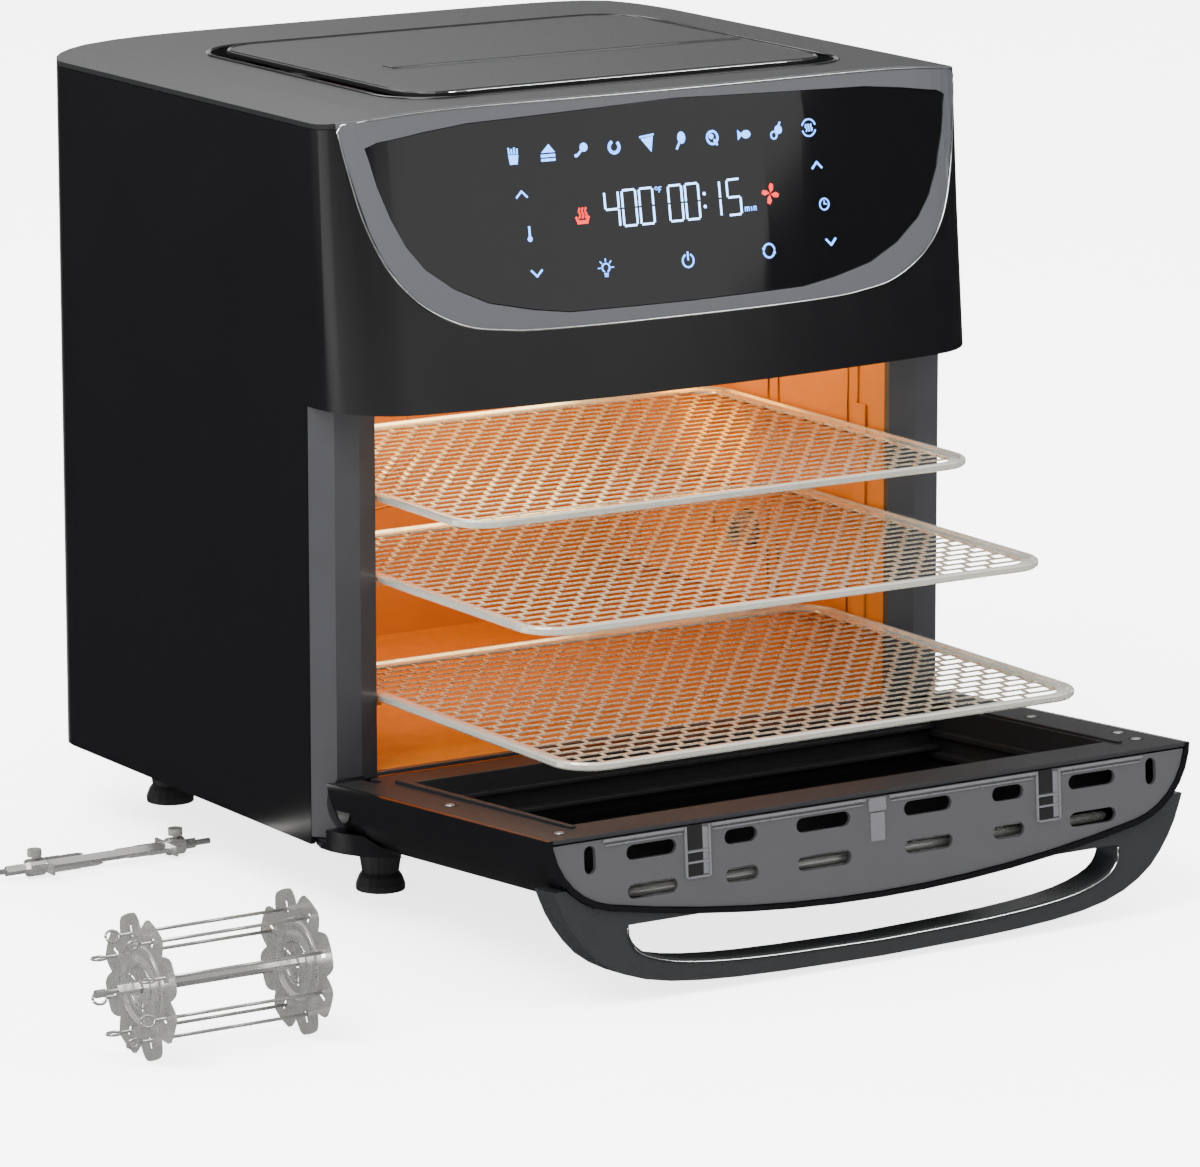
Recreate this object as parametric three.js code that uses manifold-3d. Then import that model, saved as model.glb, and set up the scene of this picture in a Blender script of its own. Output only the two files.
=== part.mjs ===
// Countertop rotisserie oven with a drop-down door, three sliding racks and a spit set.
// Millimetres, +Z up. The oven faces -Y; y = 0 is the front edge of its side panels, and
// z = 0 is the table. The whole set is centred on its own footprint at the end.
import * as THREE from 'three';
import { mergeVertices } from 'three/addons/utils/BufferGeometryUtils.js';
import Module from 'manifold-3d';

const wasm = await Module();
wasm.setup();

// ---------------------------------------------------------------- driving dimensions
const GAP = 0.3;                 // clearance between pieces that touch
const WIDTH = 360;               // body width
const DEPTH = 262;               // side panel, front edge to rear wall
const HEIGHT = 380;              // table to the top cover, at the sides
const WALL = 2.4;                // moulded body wall
const SHEET = 1.2;               // steel sheet of the cavity
const REAR_RADIUS = 24;          // rear vertical corners
const FRONT_RADIUS = 40;         // front vertical corners
const FRONT_TANGENT = 9.3;       // where a front corner leaves the side panel
const FRONT_REACH = 59;          // how far the bowed front stands before y = 0
const LEAN = 0.4;                // share of its reach the fascia loses up to its top
const CROWN = 7;                 // rise of the top cover at its middle
const CROWN_POWER = 7;           // how square the crown's shoulders are
const FEET = 35;                 // table to the underside of the body
const FOOT_RADIUS = 12;
const FOOT_INSET = 54;           // foot centre, in from the side
const FOOT_FRONT_Y = 27;
const FOOT_REAR_INSET = 26;      // rear foot centre, in from the rear wall
const FASCIA_Z = 246.5;          // lower edge of the control fascia
const DOOR_SEAT = 0.5;           // closed door's inner face to the front frame's cheeks
const CHEEK_INSET = 7.7;
const JAMB_WIDTH = 25.4;
const JAMB_STEP = 5.7;           // the jamb falls back this much at the opening
const OPENING_BOTTOM = 67;       // lower edge of the cavity opening
const CAVITY_HEIGHT = 258;       // floor to ceiling of the cavity
const REAR_SPACE = 13;           // air space behind the cavity
const DOOR_BOTTOM = 47.2;        // lower end of the closed door
const DOOR_FACE = 12.5;          // closed door's inner face, before y = 0
const DOOR_FRONT = 21.3;         // the recess floor to the door's bowed outside
const DOOR_SHOULDER = 32.2;      // the recess floor back to where the door's corners begin
const DOOR_WALL = 2.6;
const DOOR_LOW_RADIUS = 40;      // rounding of the door's lower end
const DOOR_GAP = 2;              // between the closed door and the fascia
const DOOR_OPEN = 86;            // degrees from closed to the rest pose
const HINGE_BACK = 12.1;         // hinge axis, outward from the door's inner face
const HINGE_UP = 9;              // hinge axis, above the door's lower end
const HINGE_PIN = 3;
const WELL_MARGIN = 3.1;         // recess half-width beyond the cavity's
const WELL_DEPTH = 29;           // recess in the door's inner face
const WELL_LOW = 26;             // recess edge above the door's lower end
const WELL_TOP = 28;             // recess edge below the door's upper end
const WELL_WALL = 1.2;
const HANDLE_DROP = 28;          // how far the handle bar stands off the door
const HANDLE_BAR = 9;
const HANDLE_DEPTH = 17;
const RACK_SIDE_GAP = 1.9;       // rack to cavity wall
const RACK_SETBACK = 12;         // front edge of a rack that is pushed in
const RACK_END_GAP = 1;          // pushed-in rack to the cavity's rear wall
const RACK_RADIUS = 20;
const RACK_RIM = 4;              // height and width of a rack's rolled rim
const DECK = 1.2;                // thickness of a rack's mesh deck
const RUNNER = 3;                // height of a rack runner
const RUNNER_REACH = 7;          // how far a runner stands into the cavity
const RACKS = {                  // deck height, and how far each rack is drawn out
  top: { z: 199.6, out: 88.3 },
  middle: { z: 160.3, out: 149 },
  bottom: { z: 102.8, out: 179.4 },
};
const SPIT_Y = 118;              // axis of the spit drive in the cavity
const SPIT_Z = 131;
const FAN_Y = 122;               // centre of the fan and heater
const COIL_RADIUS = 92;
const COIL_TUBE = 3.2;
const LID = { side: 61, front: 2, rear: 66, radius: 20, gap: 8, lift: 1.5, dish: 7,
  ridge: 0.8 };

// pieces of the spit set, lying on the table beside the oven
const SPIT = { x: -276, y: 135, length: 116, half: 2, axis: 5.2 };
const FORK = { left: 24, right: 92, spread: 11, strip: 5, thick: 1.2, tine: 28, wire: 1.2 };
const BASKET = { x: -367, y: -173.7, length: 79, radius: 33, disc: 1.2, skewers: 8, ring: 24 };

// ---------------------------------------------------------------- worked-out dimensions
const HALF = WIDTH / 2;
const REAR_Y = DEPTH;
const CORNER_X = HALF - FRONT_RADIUS;
const JAMB_X = HALF - CHEEK_INSET;
const CHEEK_DEPTH = DOOR_FACE - DOOR_SEAT;
const CAVITY_HALF = JAMB_X - JAMB_WIDTH;
const CAVITY_FRONT = -CHEEK_DEPTH + JAMB_STEP + 4;
const CAVITY_REAR = REAR_Y - REAR_SPACE;
const CAVITY_TOP = OPENING_BOTTOM + CAVITY_HEIGHT;
const DOOR_TOP = FASCIA_Z - DOOR_GAP;
const DOOR_REACH = DOOR_FACE + WELL_DEPTH + DOOR_FRONT;
const DOOR_TANGENT = DOOR_FACE + WELL_DEPTH - DOOR_SHOULDER;
const WELL_HALF = CAVITY_HALF + WELL_MARGIN;
const RACK_WIDTH = 2 * (CAVITY_HALF - RACK_SIDE_GAP);
const RACK_DEPTH = CAVITY_REAR - RACK_SETBACK - RACK_END_GAP;
const FOOT_X = HALF - FOOT_INSET;
const FOOT_REAR_Y = REAR_Y - FOOT_REAR_INSET;
const LID_HALF = HALF - LID.side;
const LID_REAR = REAR_Y - LID.rear;
const HINGE_Y = -DOOR_FACE - HINGE_BACK;
const HINGE_Z = DOOR_BOTTOM + HINGE_UP;

// ---------------------------------------------------------------- materials
const paint = (color, roughness, metalness = 0) =>
  new THREE.MeshStandardMaterial({ color, roughness, metalness });
const gloss = paint('#0b0b0c', 0.18);
const satin = paint('#3a3a3c', 0.5);
const frameGrey = paint('#4c4b4e', 0.5);
const stripGrey = paint('#6b6a6b', 0.45);
const glass = paint('#101113', 0.06);
const steel = paint('#c9c7c0', 0.25, 1);
const enamel = paint('#8a6a48', 0.35, 0.8);
const rubber = paint('#151515', 0.8);
const black = paint('#1a1a1b', 0.6);
const board = paint('#1f5a33', 0.6);
const ceramic = paint('#e6e2d8', 0.5);

// ---------------------------------------------------------------- solids
const signedVolume = (positions, index) => {
  let six = 0;
  const [a, b, c] = [new THREE.Vector3(), new THREE.Vector3(), new THREE.Vector3()];
  for (let i = 0; i < index.length; i += 3) {
    a.fromArray(positions, 3 * index[i]);
    b.fromArray(positions, 3 * index[i + 1]);
    c.fromArray(positions, 3 * index[i + 2]);
    six += a.dot(b.cross(c));
  }
  return six / 6;
};

// A closed BufferGeometry as a manifold solid, its faces turned outward.
const solid = (geometry) => {
  const bare = geometry.clone();
  bare.deleteAttribute('normal');
  bare.deleteAttribute('uv');
  const merged = mergeVertices(bare, 1e-4);
  const vertProperties = new Float32Array(merged.attributes.position.array);
  const triVerts = new Uint32Array(merged.index.array);
  if (signedVolume(vertProperties, triVerts) < 0) {
    for (let i = 0; i < triVerts.length; i += 3) {
      [triVerts[i], triVerts[i + 1]] = [triVerts[i + 1], triVerts[i]];
    }
  }
  return new wasm.Manifold(new wasm.Mesh({ numProp: 3, vertProperties, triVerts }));
};

const geometryOf = (shape) => {
  if (shape.isBufferGeometry) return shape;
  const mesh = shape.getMesh();
  const geometry = new THREE.BufferGeometry();
  geometry.setAttribute('position', new THREE.BufferAttribute(mesh.vertProperties, 3));
  geometry.setIndex(new THREE.BufferAttribute(mesh.triVerts, 1));
  geometry.computeVertexNormals();
  return geometry;
};

const joined = (pieces) => pieces.reduce((sum, piece) => sum.add(piece));
const less = (body, cuts) => cuts.reduce((rest, cut) => rest.subtract(cut), body);
const block = (x0, x1, y0, y1, z0, z1) => {
  const box = new THREE.BoxGeometry(x1 - x0, y1 - y0, z1 - z0);
  return solid(box.translate((x0 + x1) / 2, (y0 + y1) / 2, (z0 + z1) / 2));
};

const arc = (cx, cy, radius, from, to, steps) =>
  Array.from({ length: steps + 1 }, (_, i) => {
    const angle = from + ((to - from) * i) / steps;
    return new THREE.Vector2(cx + radius * Math.cos(angle), cy + radius * Math.sin(angle));
  });
const extruded = (points, depth) =>
  new THREE.ExtrudeGeometry(new THREE.Shape(points), { depth, bevelEnabled: false });

// Prisms: an outline in XY raised along Z, in XZ along Y, or in YZ along X.
const prismZ = (points, z0, z1) => extruded(points, z1 - z0).translate(0, 0, z0);
const prismY = (points, y0, y1) =>
  extruded(points, y1 - y0).rotateX(Math.PI / 2).translate(0, y1, 0);
const prismX = (points, x0, x1) => {
  const turn = new THREE.Matrix4().makeBasis(
    new THREE.Vector3(0, 1, 0), new THREE.Vector3(0, 0, 1), new THREE.Vector3(1, 0, 0));
  return extruded(points, x1 - x0).applyMatrix4(turn).translate(x0, 0, 0);
};
const roundedBox = (x0, x1, y0, y1, radius, steps = 5) => [
  ...arc(x1 - radius, y1 - radius, radius, 0, Math.PI / 2, steps),
  ...arc(x0 + radius, y1 - radius, radius, Math.PI / 2, Math.PI, steps),
  ...arc(x0 + radius, y0 + radius, radius, Math.PI, 1.5 * Math.PI, steps),
  ...arc(x1 - radius, y0 + radius, radius, 1.5 * Math.PI, 2 * Math.PI, steps),
];
const slot = (x, z, length, height, steps = 4) =>
  roundedBox(x - length / 2, x + length / 2, z - height / 2, z + height / 2,
    Math.min(length, height) / 2 - 0.01, steps);

// A turned piece about Z, from its radius and height profile.
const turned = (profile, segments = 24) =>
  new THREE.LatheGeometry(profile.map(([r, z]) => new THREE.Vector2(r, z)), segments)
    .rotateX(Math.PI / 2);
const rod = (radius, z0, z1, segments = 16) =>
  turned([[0, z0], [radius, z0], [radius, z1], [0, z1]], segments);
const alongX = (geometry) => geometry.rotateY(Math.PI / 2);
const wire = (points, radius, sides = 8, closed = false, steps = points.length * 3) => {
  const section = arc(0, 0, radius, 0, 2 * Math.PI, sides).slice(0, sides);
  const path = new THREE.CatmullRomCurve3(points.map((p) => new THREE.Vector3(...p)), closed);
  return new THREE.ExtrudeGeometry(new THREE.Shape(section),
    { steps, extrudePath: path, bevelEnabled: false });
};

// ---------------------------------------------------------------- plan outlines
// Straight sides, round rear corners, round front corners and a bowed front that meets
// them tangentially. reach sets the front, inset offsets the whole outline inward.
const bow = (reach, tangent) => {
  const rise = reach - tangent;
  const radius = (CORNER_X ** 2 + rise ** 2 - FRONT_RADIUS ** 2) / (2 * (rise - FRONT_RADIUS));
  return { radius, y: radius - reach, half: Math.atan2(CORNER_X, radius - rise) };
};
const frontCurve = (inset = 0, reach = FRONT_REACH, tangent = FRONT_TANGENT) => {
  const front = bow(reach, tangent);
  const down = 1.5 * Math.PI;
  return [
    ...arc(-CORNER_X, -tangent, FRONT_RADIUS - inset, Math.PI, down - front.half, 7),
    ...arc(0, front.y, front.radius - inset, down - front.half, down + front.half, 12).slice(1, -1),
    ...arc(CORNER_X, -tangent, FRONT_RADIUS - inset, down + front.half, 2 * Math.PI, 7),
  ];
};
const planOutline = (inset = 0) => {
  const x = HALF - REAR_RADIUS;
  const y = REAR_Y - REAR_RADIUS;
  return [
    ...arc(x, y, REAR_RADIUS - inset, 0, Math.PI / 2, 5),
    ...arc(-x, y, REAR_RADIUS - inset, Math.PI / 2, Math.PI, 5),
    ...frontCurve(inset),
  ];
};
// The fascia leans back: above its lower edge everything before y = 0 draws in.
const TOP_Z = HEIGHT + CROWN;
const leanedBlock = (inset, z0 = FASCIA_Z, z1 = TOP_Z + 1) => {
  const geometry = prismZ(planOutline(inset), z0, z1);
  const spot = geometry.attributes.position;
  for (let i = 0; i < spot.count; i += 1) {
    const rise = Math.max(0, spot.getZ(i) - FASCIA_Z) / (TOP_Z - FASCIA_Z);
    if (spot.getY(i) < 0) spot.setY(i, spot.getY(i) * (1 - LEAN * rise));
  }
  return solid(geometry);
};
// Everything below the crowned top, the same section from front to rear.
const underCrown = (top, low = FEET) => {
  const across = Array.from({ length: 25 }, (_, i) => {
    const x = -HALF - 4 + ((WIDTH + 8) * (24 - i)) / 24;
    const rise = CROWN * (1 - Math.min(1, Math.abs(x) / HALF) ** CROWN_POWER);
    return new THREE.Vector2(x, top + rise);
  });
  const corners = [new THREE.Vector2(-HALF - 4, low), new THREE.Vector2(HALF + 4, low)];
  return solid(prismY([...across, ...corners], -FRONT_REACH - 10, REAR_Y + 10));
};

// ---------------------------------------------------------------- scene graph
const oven = new THREE.Group();
const add = (name, shape, material, parent = oven) => {
  const mesh = new THREE.Mesh(geometryOf(shape), material);
  mesh.name = name;
  parent.add(mesh);
  return mesh;
};
const both = [['left', -1], ['right', 1]];

// ---------------------------------------------------------------- control panel outlines
// Shields symmetric about x = 0, given as inset from the side and height, going outward.
const shield = (points, low, high, grow) => {
  const right = points.map(([inset, z]) => new THREE.Vector2(HALF - inset + grow, z));
  const side = new THREE.SplineCurve(right).getPoints(12);
  const left = side.map((p) => new THREE.Vector2(-p.x, p.y)).reverse();
  return [new THREE.Vector2(0, low - grow), ...side, new THREE.Vector2(0, high + grow), ...left];
};
const PANEL_LOW = FASCIA_Z + 34.5;
const bezelOutline = (grow = 0) => shield([[94, PANEL_LOW + 0.5 - grow],
  [63, PANEL_LOW + 4 - grow], [37, PANEL_LOW + 17], [20, PANEL_LOW + 40], [10, PANEL_LOW + 77],
  [5, TOP_Z + 1]], PANEL_LOW, TOP_Z + 3, grow);
const glassOutline = (grow = 0) => shield([[114, PANEL_LOW + 7 - grow],
  [72, PANEL_LOW + 14.5 - grow], [41, PANEL_LOW + 32], [26, PANEL_LOW + 56],
  [18, PANEL_LOW + 84], [22, TOP_Z - 14.5 + grow], [68, TOP_Z - 8.5 + grow]],
PANEL_LOW + 6.5, TOP_Z - 5, grow);
const fascia = (outline) => solid(prismY(outline, -FRONT_REACH - 6, -2));

// ---------------------------------------------------------------- casing
const REAR_OPENING = { half: HALF - REAR_RADIUS - 4, low: FEET + 10, high: HEIGHT - 14 };
const COVER = 2.4;
const panelCut = leanedBlock(-2).subtract(leanedBlock(WALL + GAP)).intersect(fascia(bezelOutline(GAP)));
const bodyShell = () => {
  const lower = less(solid(prismZ(planOutline(0), FEET, FASCIA_Z)), [
    solid(prismZ(planOutline(WALL), FEET - 1, FASCIA_Z + 1)),
    block(-HALF - 1, HALF + 1, -FRONT_REACH - 1, 0, FEET - 1, FASCIA_Z + 1)]);
  const upper = leanedBlock(0).intersect(underCrown(HEIGHT - COVER - GAP)).subtract(
    leanedBlock(WALL, FASCIA_Z, TOP_Z + 3));
  const shelf = solid(prismZ(planOutline(0.5), FASCIA_Z, FASCIA_Z + WALL)).intersect(
    block(-HALF, HALF, -FRONT_REACH, -FRONT_TANGENT, FASCIA_Z, FASCIA_Z + WALL));
  const rear = block(-REAR_OPENING.half, REAR_OPENING.half, REAR_Y - WALL - 1, REAR_Y + 1,
    REAR_OPENING.low, REAR_OPENING.high);
  return less(joined([lower, upper, shelf]), [panelCut, rear]);
};
add('body_shell', bodyShell(), gloss);

const lidPlan = (grow) => roundedBox(-LID_HALF - grow, LID_HALF + grow,
  LID.front - grow, LID_REAR + grow, LID.radius + grow, 4);
const layer = (top, thick) => underCrown(top).subtract(underCrown(top - thick, FEET - 1));
const topCover = () => {
  const plate = leanedBlock(0).add(leanedBlock(0, HEIGHT - 20)).intersect(layer(HEIGHT, COVER));
  const dishZ = HEIGHT - LID.dish;
  const tray = solid(prismZ(lidPlan(LID.gap + 2), dishZ - 1.6, TOP_Z + 5))
    .intersect(underCrown(HEIGHT));
  const well = solid(prismZ(lidPlan(LID.gap), dishZ, TOP_Z + 5));
  const vents = [-75, -45, -15, 15, 45, 75].map((x) => block(x - 10, x + 10,
    LID.front + 30, LID_REAR - 30, dishZ - 5, dishZ + 1));
  return less(joined([plate, tray]), [well, panelCut, ...vents]);
};
add('top_cover', topCover(), gloss);

const ventLid = () => {
  const top = HEIGHT + LID.lift;
  const plate = solid(prismZ(lidPlan(0), FEET, TOP_Z + 20)).intersect(layer(top, 2.4));
  const posts = both.flatMap(([, side]) => [LID.front + 14, LID_REAR - 14].map((y) =>
    block(side * 100 - 4, side * 100 + 4, y - 4, y + 4, HEIGHT - LID.dish + GAP, TOP_Z + 20)));
  const across = block(-LID_HALF + 35, LID_HALF - 2, LID_REAR - 114, LID_REAR - 105, FEET, TOP_Z + 20);
  const ridge = across.intersect(layer(top + LID.ridge, 1.6));
  return joined([plate, ridge, joined(posts).intersect(underCrown(top - 1))]);
};
add('top_vent_lid', ventLid(), gloss);

const GLAND = { x: 120, z: 76, radius: 8.6 };
const rearCover = () => {
  const half = REAR_OPENING.half - GAP;
  const plate = block(-half, half, REAR_Y - WALL, REAR_Y,
    REAR_OPENING.low + GAP, REAR_OPENING.high - GAP);
  const louvres = [-82, -41, 0, 41, 82].flatMap((x) => [0, 1, 2, 3].map((row) =>
    solid(prismY(slot(x, HEIGHT - 42 - 14 * row, 34, 5, 2), REAR_Y - WALL - 1, REAR_Y + 1))));
  const lead = solid(prismY(arc(GLAND.x, GLAND.z, GLAND.radius + GAP, 0, 2 * Math.PI, 16)
    .slice(0, 16), REAR_Y - WALL - 1, REAR_Y + 1));
  return less(plate, [...louvres, lead]);
};
add('rear_cover', rearCover(), black);
const gland = turned([[4, -6], [GLAND.radius, -6], [GLAND.radius, GAP], [11.5, GAP], [11.5, 3],
  [8, 7], [4, 7], [4, -6]], 16);
add('cord_gland', gland.rotateX(-Math.PI / 2).translate(GLAND.x, REAR_Y, GLAND.z), rubber);

const basePan = () => {
  const floor = solid(prismZ(planOutline(WALL + GAP), FEET, FEET + 2));
  const cut = block(-HALF, HALF, -FRONT_REACH - 1, 2, FEET - 1, FEET + 3);
  const screws = both.flatMap(([, side]) => [FOOT_FRONT_Y, FOOT_REAR_Y].map((y) =>
    solid(rod(3.4, FEET - 1, FEET + 3, 10).translate(side * FOOT_X, y, 0))));
  const vents = [-60, -30, 0, 30, 60].map((x) => block(x - 3, x + 3, 90, 170, FEET - 1, FEET + 3));
  return less(floor, [cut, ...screws, ...vents]);
};
add('base_pan', basePan(), black);
const foot = (x, y) => turned([[0, 0], [FOOT_RADIUS, 0], [FOOT_RADIUS, 3], [FOOT_RADIUS - 1.5, 7],
  [FOOT_RADIUS - 3, 9], [FOOT_RADIUS + 1, FEET - GAP], [3, FEET - GAP], [3, FEET + 5], [0, FEET + 5]],
18).translate(x, y, 0);
for (const [side, sign] of both) {
  add(`foot_front_${side}`, foot(sign * FOOT_X, FOOT_FRONT_Y), rubber);
  add(`foot_rear_${side}`, foot(sign * FOOT_X, FOOT_REAR_Y), rubber);
}

// ---------------------------------------------------------------- door (modelled closed)
const hinge = new THREE.Group();
hinge.position.set(0, HINGE_Y, HINGE_Z);
hinge.rotation.x = THREE.MathUtils.degToRad(DOOR_OPEN);
const door = new THREE.Group();
door.position.set(0, -HINGE_Y, -HINGE_Z);
hinge.add(door);
oven.add(hinge);

// The door's solid form, inset evenly: the bowed plan, cut by its rounded side profile.
const doorBlock = (inset, top = DOOR_TOP - inset) => {
  const low = DOOR_BOTTOM + inset;
  const front = -DOOR_REACH + inset;
  const radius = DOOR_LOW_RADIUS;
  const profile = [
    new THREE.Vector2(-DOOR_FACE - inset, top), new THREE.Vector2(front, top),
    ...arc(-DOOR_REACH + radius, DOOR_BOTTOM + radius, radius - inset, Math.PI, 1.5 * Math.PI, 8),
    new THREE.Vector2(-DOOR_FACE - inset, low),
  ];
  const plan = [new THREE.Vector2(HALF - inset, 20), new THREE.Vector2(-HALF + inset, 20),
    ...frontCurve(inset, DOOR_REACH, DOOR_TANGENT)];
  return solid(prismZ(plan, low - 1, top + 1))
    .intersect(solid(prismX(profile, -HALF - 5, HALF + 5)));
};
const FACE_PLATE = 2;
const FACE_HALF = HALF - 2.9;
const FACE_LOW = DOOR_BOTTOM + 3;
const WELL_Z0 = DOOR_BOTTOM + WELL_LOW;
const WELL_Z1 = DOOR_TOP - WELL_TOP;
const WELL_FLOOR = -DOOR_FACE - WELL_DEPTH;
const PIN_X = { inner: HALF - 26, outer: HALF - 4.6, wall: HALF - 4.3 };
const EAR_X = JAMB_X - 12.3;
const hingeBar = (radius, side, near, far) => solid(alongX(rod(radius, near, far, 14))
  .scale(side, 1, 1).translate(0, HINGE_Y, HINGE_Z));
// The quarter of the door's lower corner that turns past a fixed hinge ear.
const earNotch = (side) => hingeBar(HINGE_BACK + 5, side, EAR_X - 2.2, EAR_X + 2.2)
  .intersect(block(-HALF, HALF, HINGE_Y - 6, 0, 0, HINGE_Z + 6));
const notches = both.map(([, side]) => earNotch(side));

const windowOutline = (grow) => roundedBox(-WELL_HALF + 24 - grow,
  WELL_HALF - 24 + grow, WELL_Z0 + 18.8 - grow, WELL_Z1 - 8.5 + grow, 10 + grow, 3);
const doorShell = () => {
  const opening = block(-FACE_HALF, FACE_HALF, -DOOR_FACE - DOOR_WALL - 0.1, 0, FACE_LOW, DOOR_TOP + 5);
  const window = solid(prismY(windowOutline(0), -DOOR_REACH - 5, WELL_FLOOR - 4));
  const bosses = both.map(([, side]) => hingeBar(6, side, EAR_X + 3.5, HALF - 3.4));
  const pins = both.map(([, side]) => hingeBar(HINGE_PIN + GAP, side, EAR_X, PIN_X.wall));
  const shell = less(doorBlock(0), [doorBlock(DOOR_WALL, DOOR_TOP + 5), opening, window, ...notches]);
  return less(joined([shell, ...bosses]), pins);
};
add('door_outer_shell', doorShell(), gloss, door);
const doorWindow = doorBlock(0).subtract(doorBlock(DOOR_WALL))
  .intersect(solid(prismY(windowOutline(-GAP), -DOOR_REACH - 5, WELL_FLOOR - 4)));
add('door_outer_glass', doorWindow, glass, door);

const doorFace = () => {
  const plate = block(-FACE_HALF + GAP, FACE_HALF - GAP, -DOOR_FACE - FACE_PLATE, -DOOR_FACE,
    FACE_LOW + GAP, DOOR_TOP);
  const tub = (grow, y1) => block(-WELL_HALF - grow, WELL_HALF + grow, WELL_FLOOR - grow, y1,
    WELL_Z0 - grow, WELL_Z1 + grow);
  const view = block(-WELL_HALF + 18, WELL_HALF - 18, -DOOR_REACH, 0, WELL_Z0 + 16, WELL_Z1 - 16);
  return less(joined([plate, tub(WELL_WALL, -DOOR_FACE)]), [tub(0, 0), view, ...notches]);
};
add('door_inner_frame', doorFace(), satin, door);
add('door_inner_glass', block(-WELL_HALF + 8, WELL_HALF - 8, WELL_FLOOR + GAP, WELL_FLOOR + 3,
  WELL_Z0 + 6, WELL_Z1 - 6), glass, door);

// The upper end of the door: a vented strip inside the shell's rim.
const STRIP = { sink: 1, thick: 2.4, x: [-124, -75.5, -30, 28.5, 74, 122.5],
  length: [27, 18, 30, 27, 18, 27] };
const endStrip = () => {
  const top = DOOR_TOP - STRIP.sink;
  const plate = doorBlock(DOOR_WALL + GAP, top).intersect(block(-HALF, HALF, -DOOR_REACH,
    -DOOR_FACE - DOOR_WALL - GAP, top - STRIP.thick, top));
  const cut = (x, y, length, height) => solid(prismZ(slot(x, y, length, height, 3),
    top - 9, top + 5));
  const rows = [11, 29].flatMap((back) => STRIP.x.map((x, i) =>
    cut(x, -DOOR_FACE - back, STRIP.length[i], 7)));
  const ends = both.map(([, side]) => cut(side * 157, -DOOR_FACE - 11.5, 6, 13));
  return less(plate, [...rows, ...ends]);
};
add('door_end_strip', endStrip(), stripGrey, door);

// A bowed loop below the door's upper end: out from the corners, along the front, back in.
const handle = () => {
  const z1 = DOOR_TOP - 2;
  const z0 = z1 - HANDLE_DEPTH;
  const front = -DOOR_REACH - HANDLE_DROP;
  const loop = (points) => {
    const side = new THREE.SplineCurve(points.map(([x, y]) => new THREE.Vector2(x, y)));
    const half = side.getPoints(14);
    return [...half, ...half.slice(0, -1).reverse().map((p) => new THREE.Vector2(-p.x, p.y))];
  };
  const outer = loop([[HALF - 4, front + 54], [HALF - 12, front + 36], [HALF - 28, front + 18],
    [HALF - 56, front + 6.5], [HALF - 105, front + 1.5], [0, front]]);
  const inner = loop([[HALF - 43, front + 34], [HALF - 44, front + 27], [HALF - 52, front + 20],
    [HALF - 74, front + 14], [HALF - 115, front + 10.5], [0, front + HANDLE_BAR]]);
  return solid(prismZ(outer, z0, z1)).subtract(doorBlock(-GAP, DOOR_TOP + 5)
    .add(solid(prismZ(inner, z0 - 1, z1 + 1))));
};
const handleBar = handle().decompose().sort((a, b) => b.volume() - a.volume())[0];
add('door_handle', handleBar, gloss, door);
for (const [side, sign] of both) {
  add(`hinge_pin_${side}`, hingeBar(HINGE_PIN, sign, PIN_X.inner, PIN_X.outer), steel, door);
}

// ---------------------------------------------------------------- front frame, base trim
const doorAt = (angle) => doorBlock(-1.2).translate([0, -HINGE_Y, -HINGE_Z])
  .rotate([angle, 0, 0]).translate([0, HINGE_Y, HINGE_Z]);
const sweep = [DOOR_OPEN, 76, 64, 50, 34, 18, 0].map(doorAt);
const relief = solid(alongX(rod(HINGE_BACK + 5.2, -HALF - 5, HALF + 5, 32))
  .translate(0, HINGE_Y, HINGE_Z));
const FRAME_BACK = CAVITY_FRONT - GAP;
const frontFrame = () => {
  const jamb = (side) => solid(prismZ([
    [HALF - 0.1, -0.5], [JAMB_X, -CHEEK_DEPTH], [JAMB_X - 13.6, -CHEEK_DEPTH],
    [CAVITY_HALF, -CHEEK_DEPTH + JAMB_STEP], [CAVITY_HALF, FRAME_BACK],
    [EAR_X - 1.3, FRAME_BACK], [EAR_X - 1.3, -CHEEK_DEPTH + 5], [EAR_X - 1.2, -CHEEK_DEPTH + 5],
    [EAR_X - 1.2, FRAME_BACK], [EAR_X + 1.3, FRAME_BACK], [EAR_X + 1.3, -CHEEK_DEPTH + 2.5],
    [JAMB_X - 2, -CHEEK_DEPTH + 2.5], [HALF - 3, -0.5],
  ].map(([x, y]) => new THREE.Vector2(side * x, y)), FEET + 4, FASCIA_Z - GAP));
  const face = -CHEEK_DEPTH + JAMB_STEP;
  const rail = (z0, z1) => block(-CAVITY_HALF - 3, CAVITY_HALF + 3, face, FRAME_BACK, z0, z1);
  const frame = less(joined([jamb(-1), jamb(1), rail(FEET + 4, OPENING_BOTTOM),
    rail(FASCIA_Z - 6, FASCIA_Z - GAP)]), [relief, sweep[0], sweep[2], sweep[4]]);
  const ears = both.map(([, side]) => joined([
    hingeBar(5.4, side, EAR_X - 1.3, EAR_X + 1.3),
    block(side * EAR_X - 1.3, side * EAR_X + 1.3, HINGE_Y, FRAME_BACK, HINGE_Z - 4, HINGE_Z + 4),
  ]).subtract(hingeBar(HINGE_PIN + GAP, side, EAR_X - 9, EAR_X + 9)));
  return joined([frame, ...ears]);
};
add('front_frame', frontFrame(), frameGrey);

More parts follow.
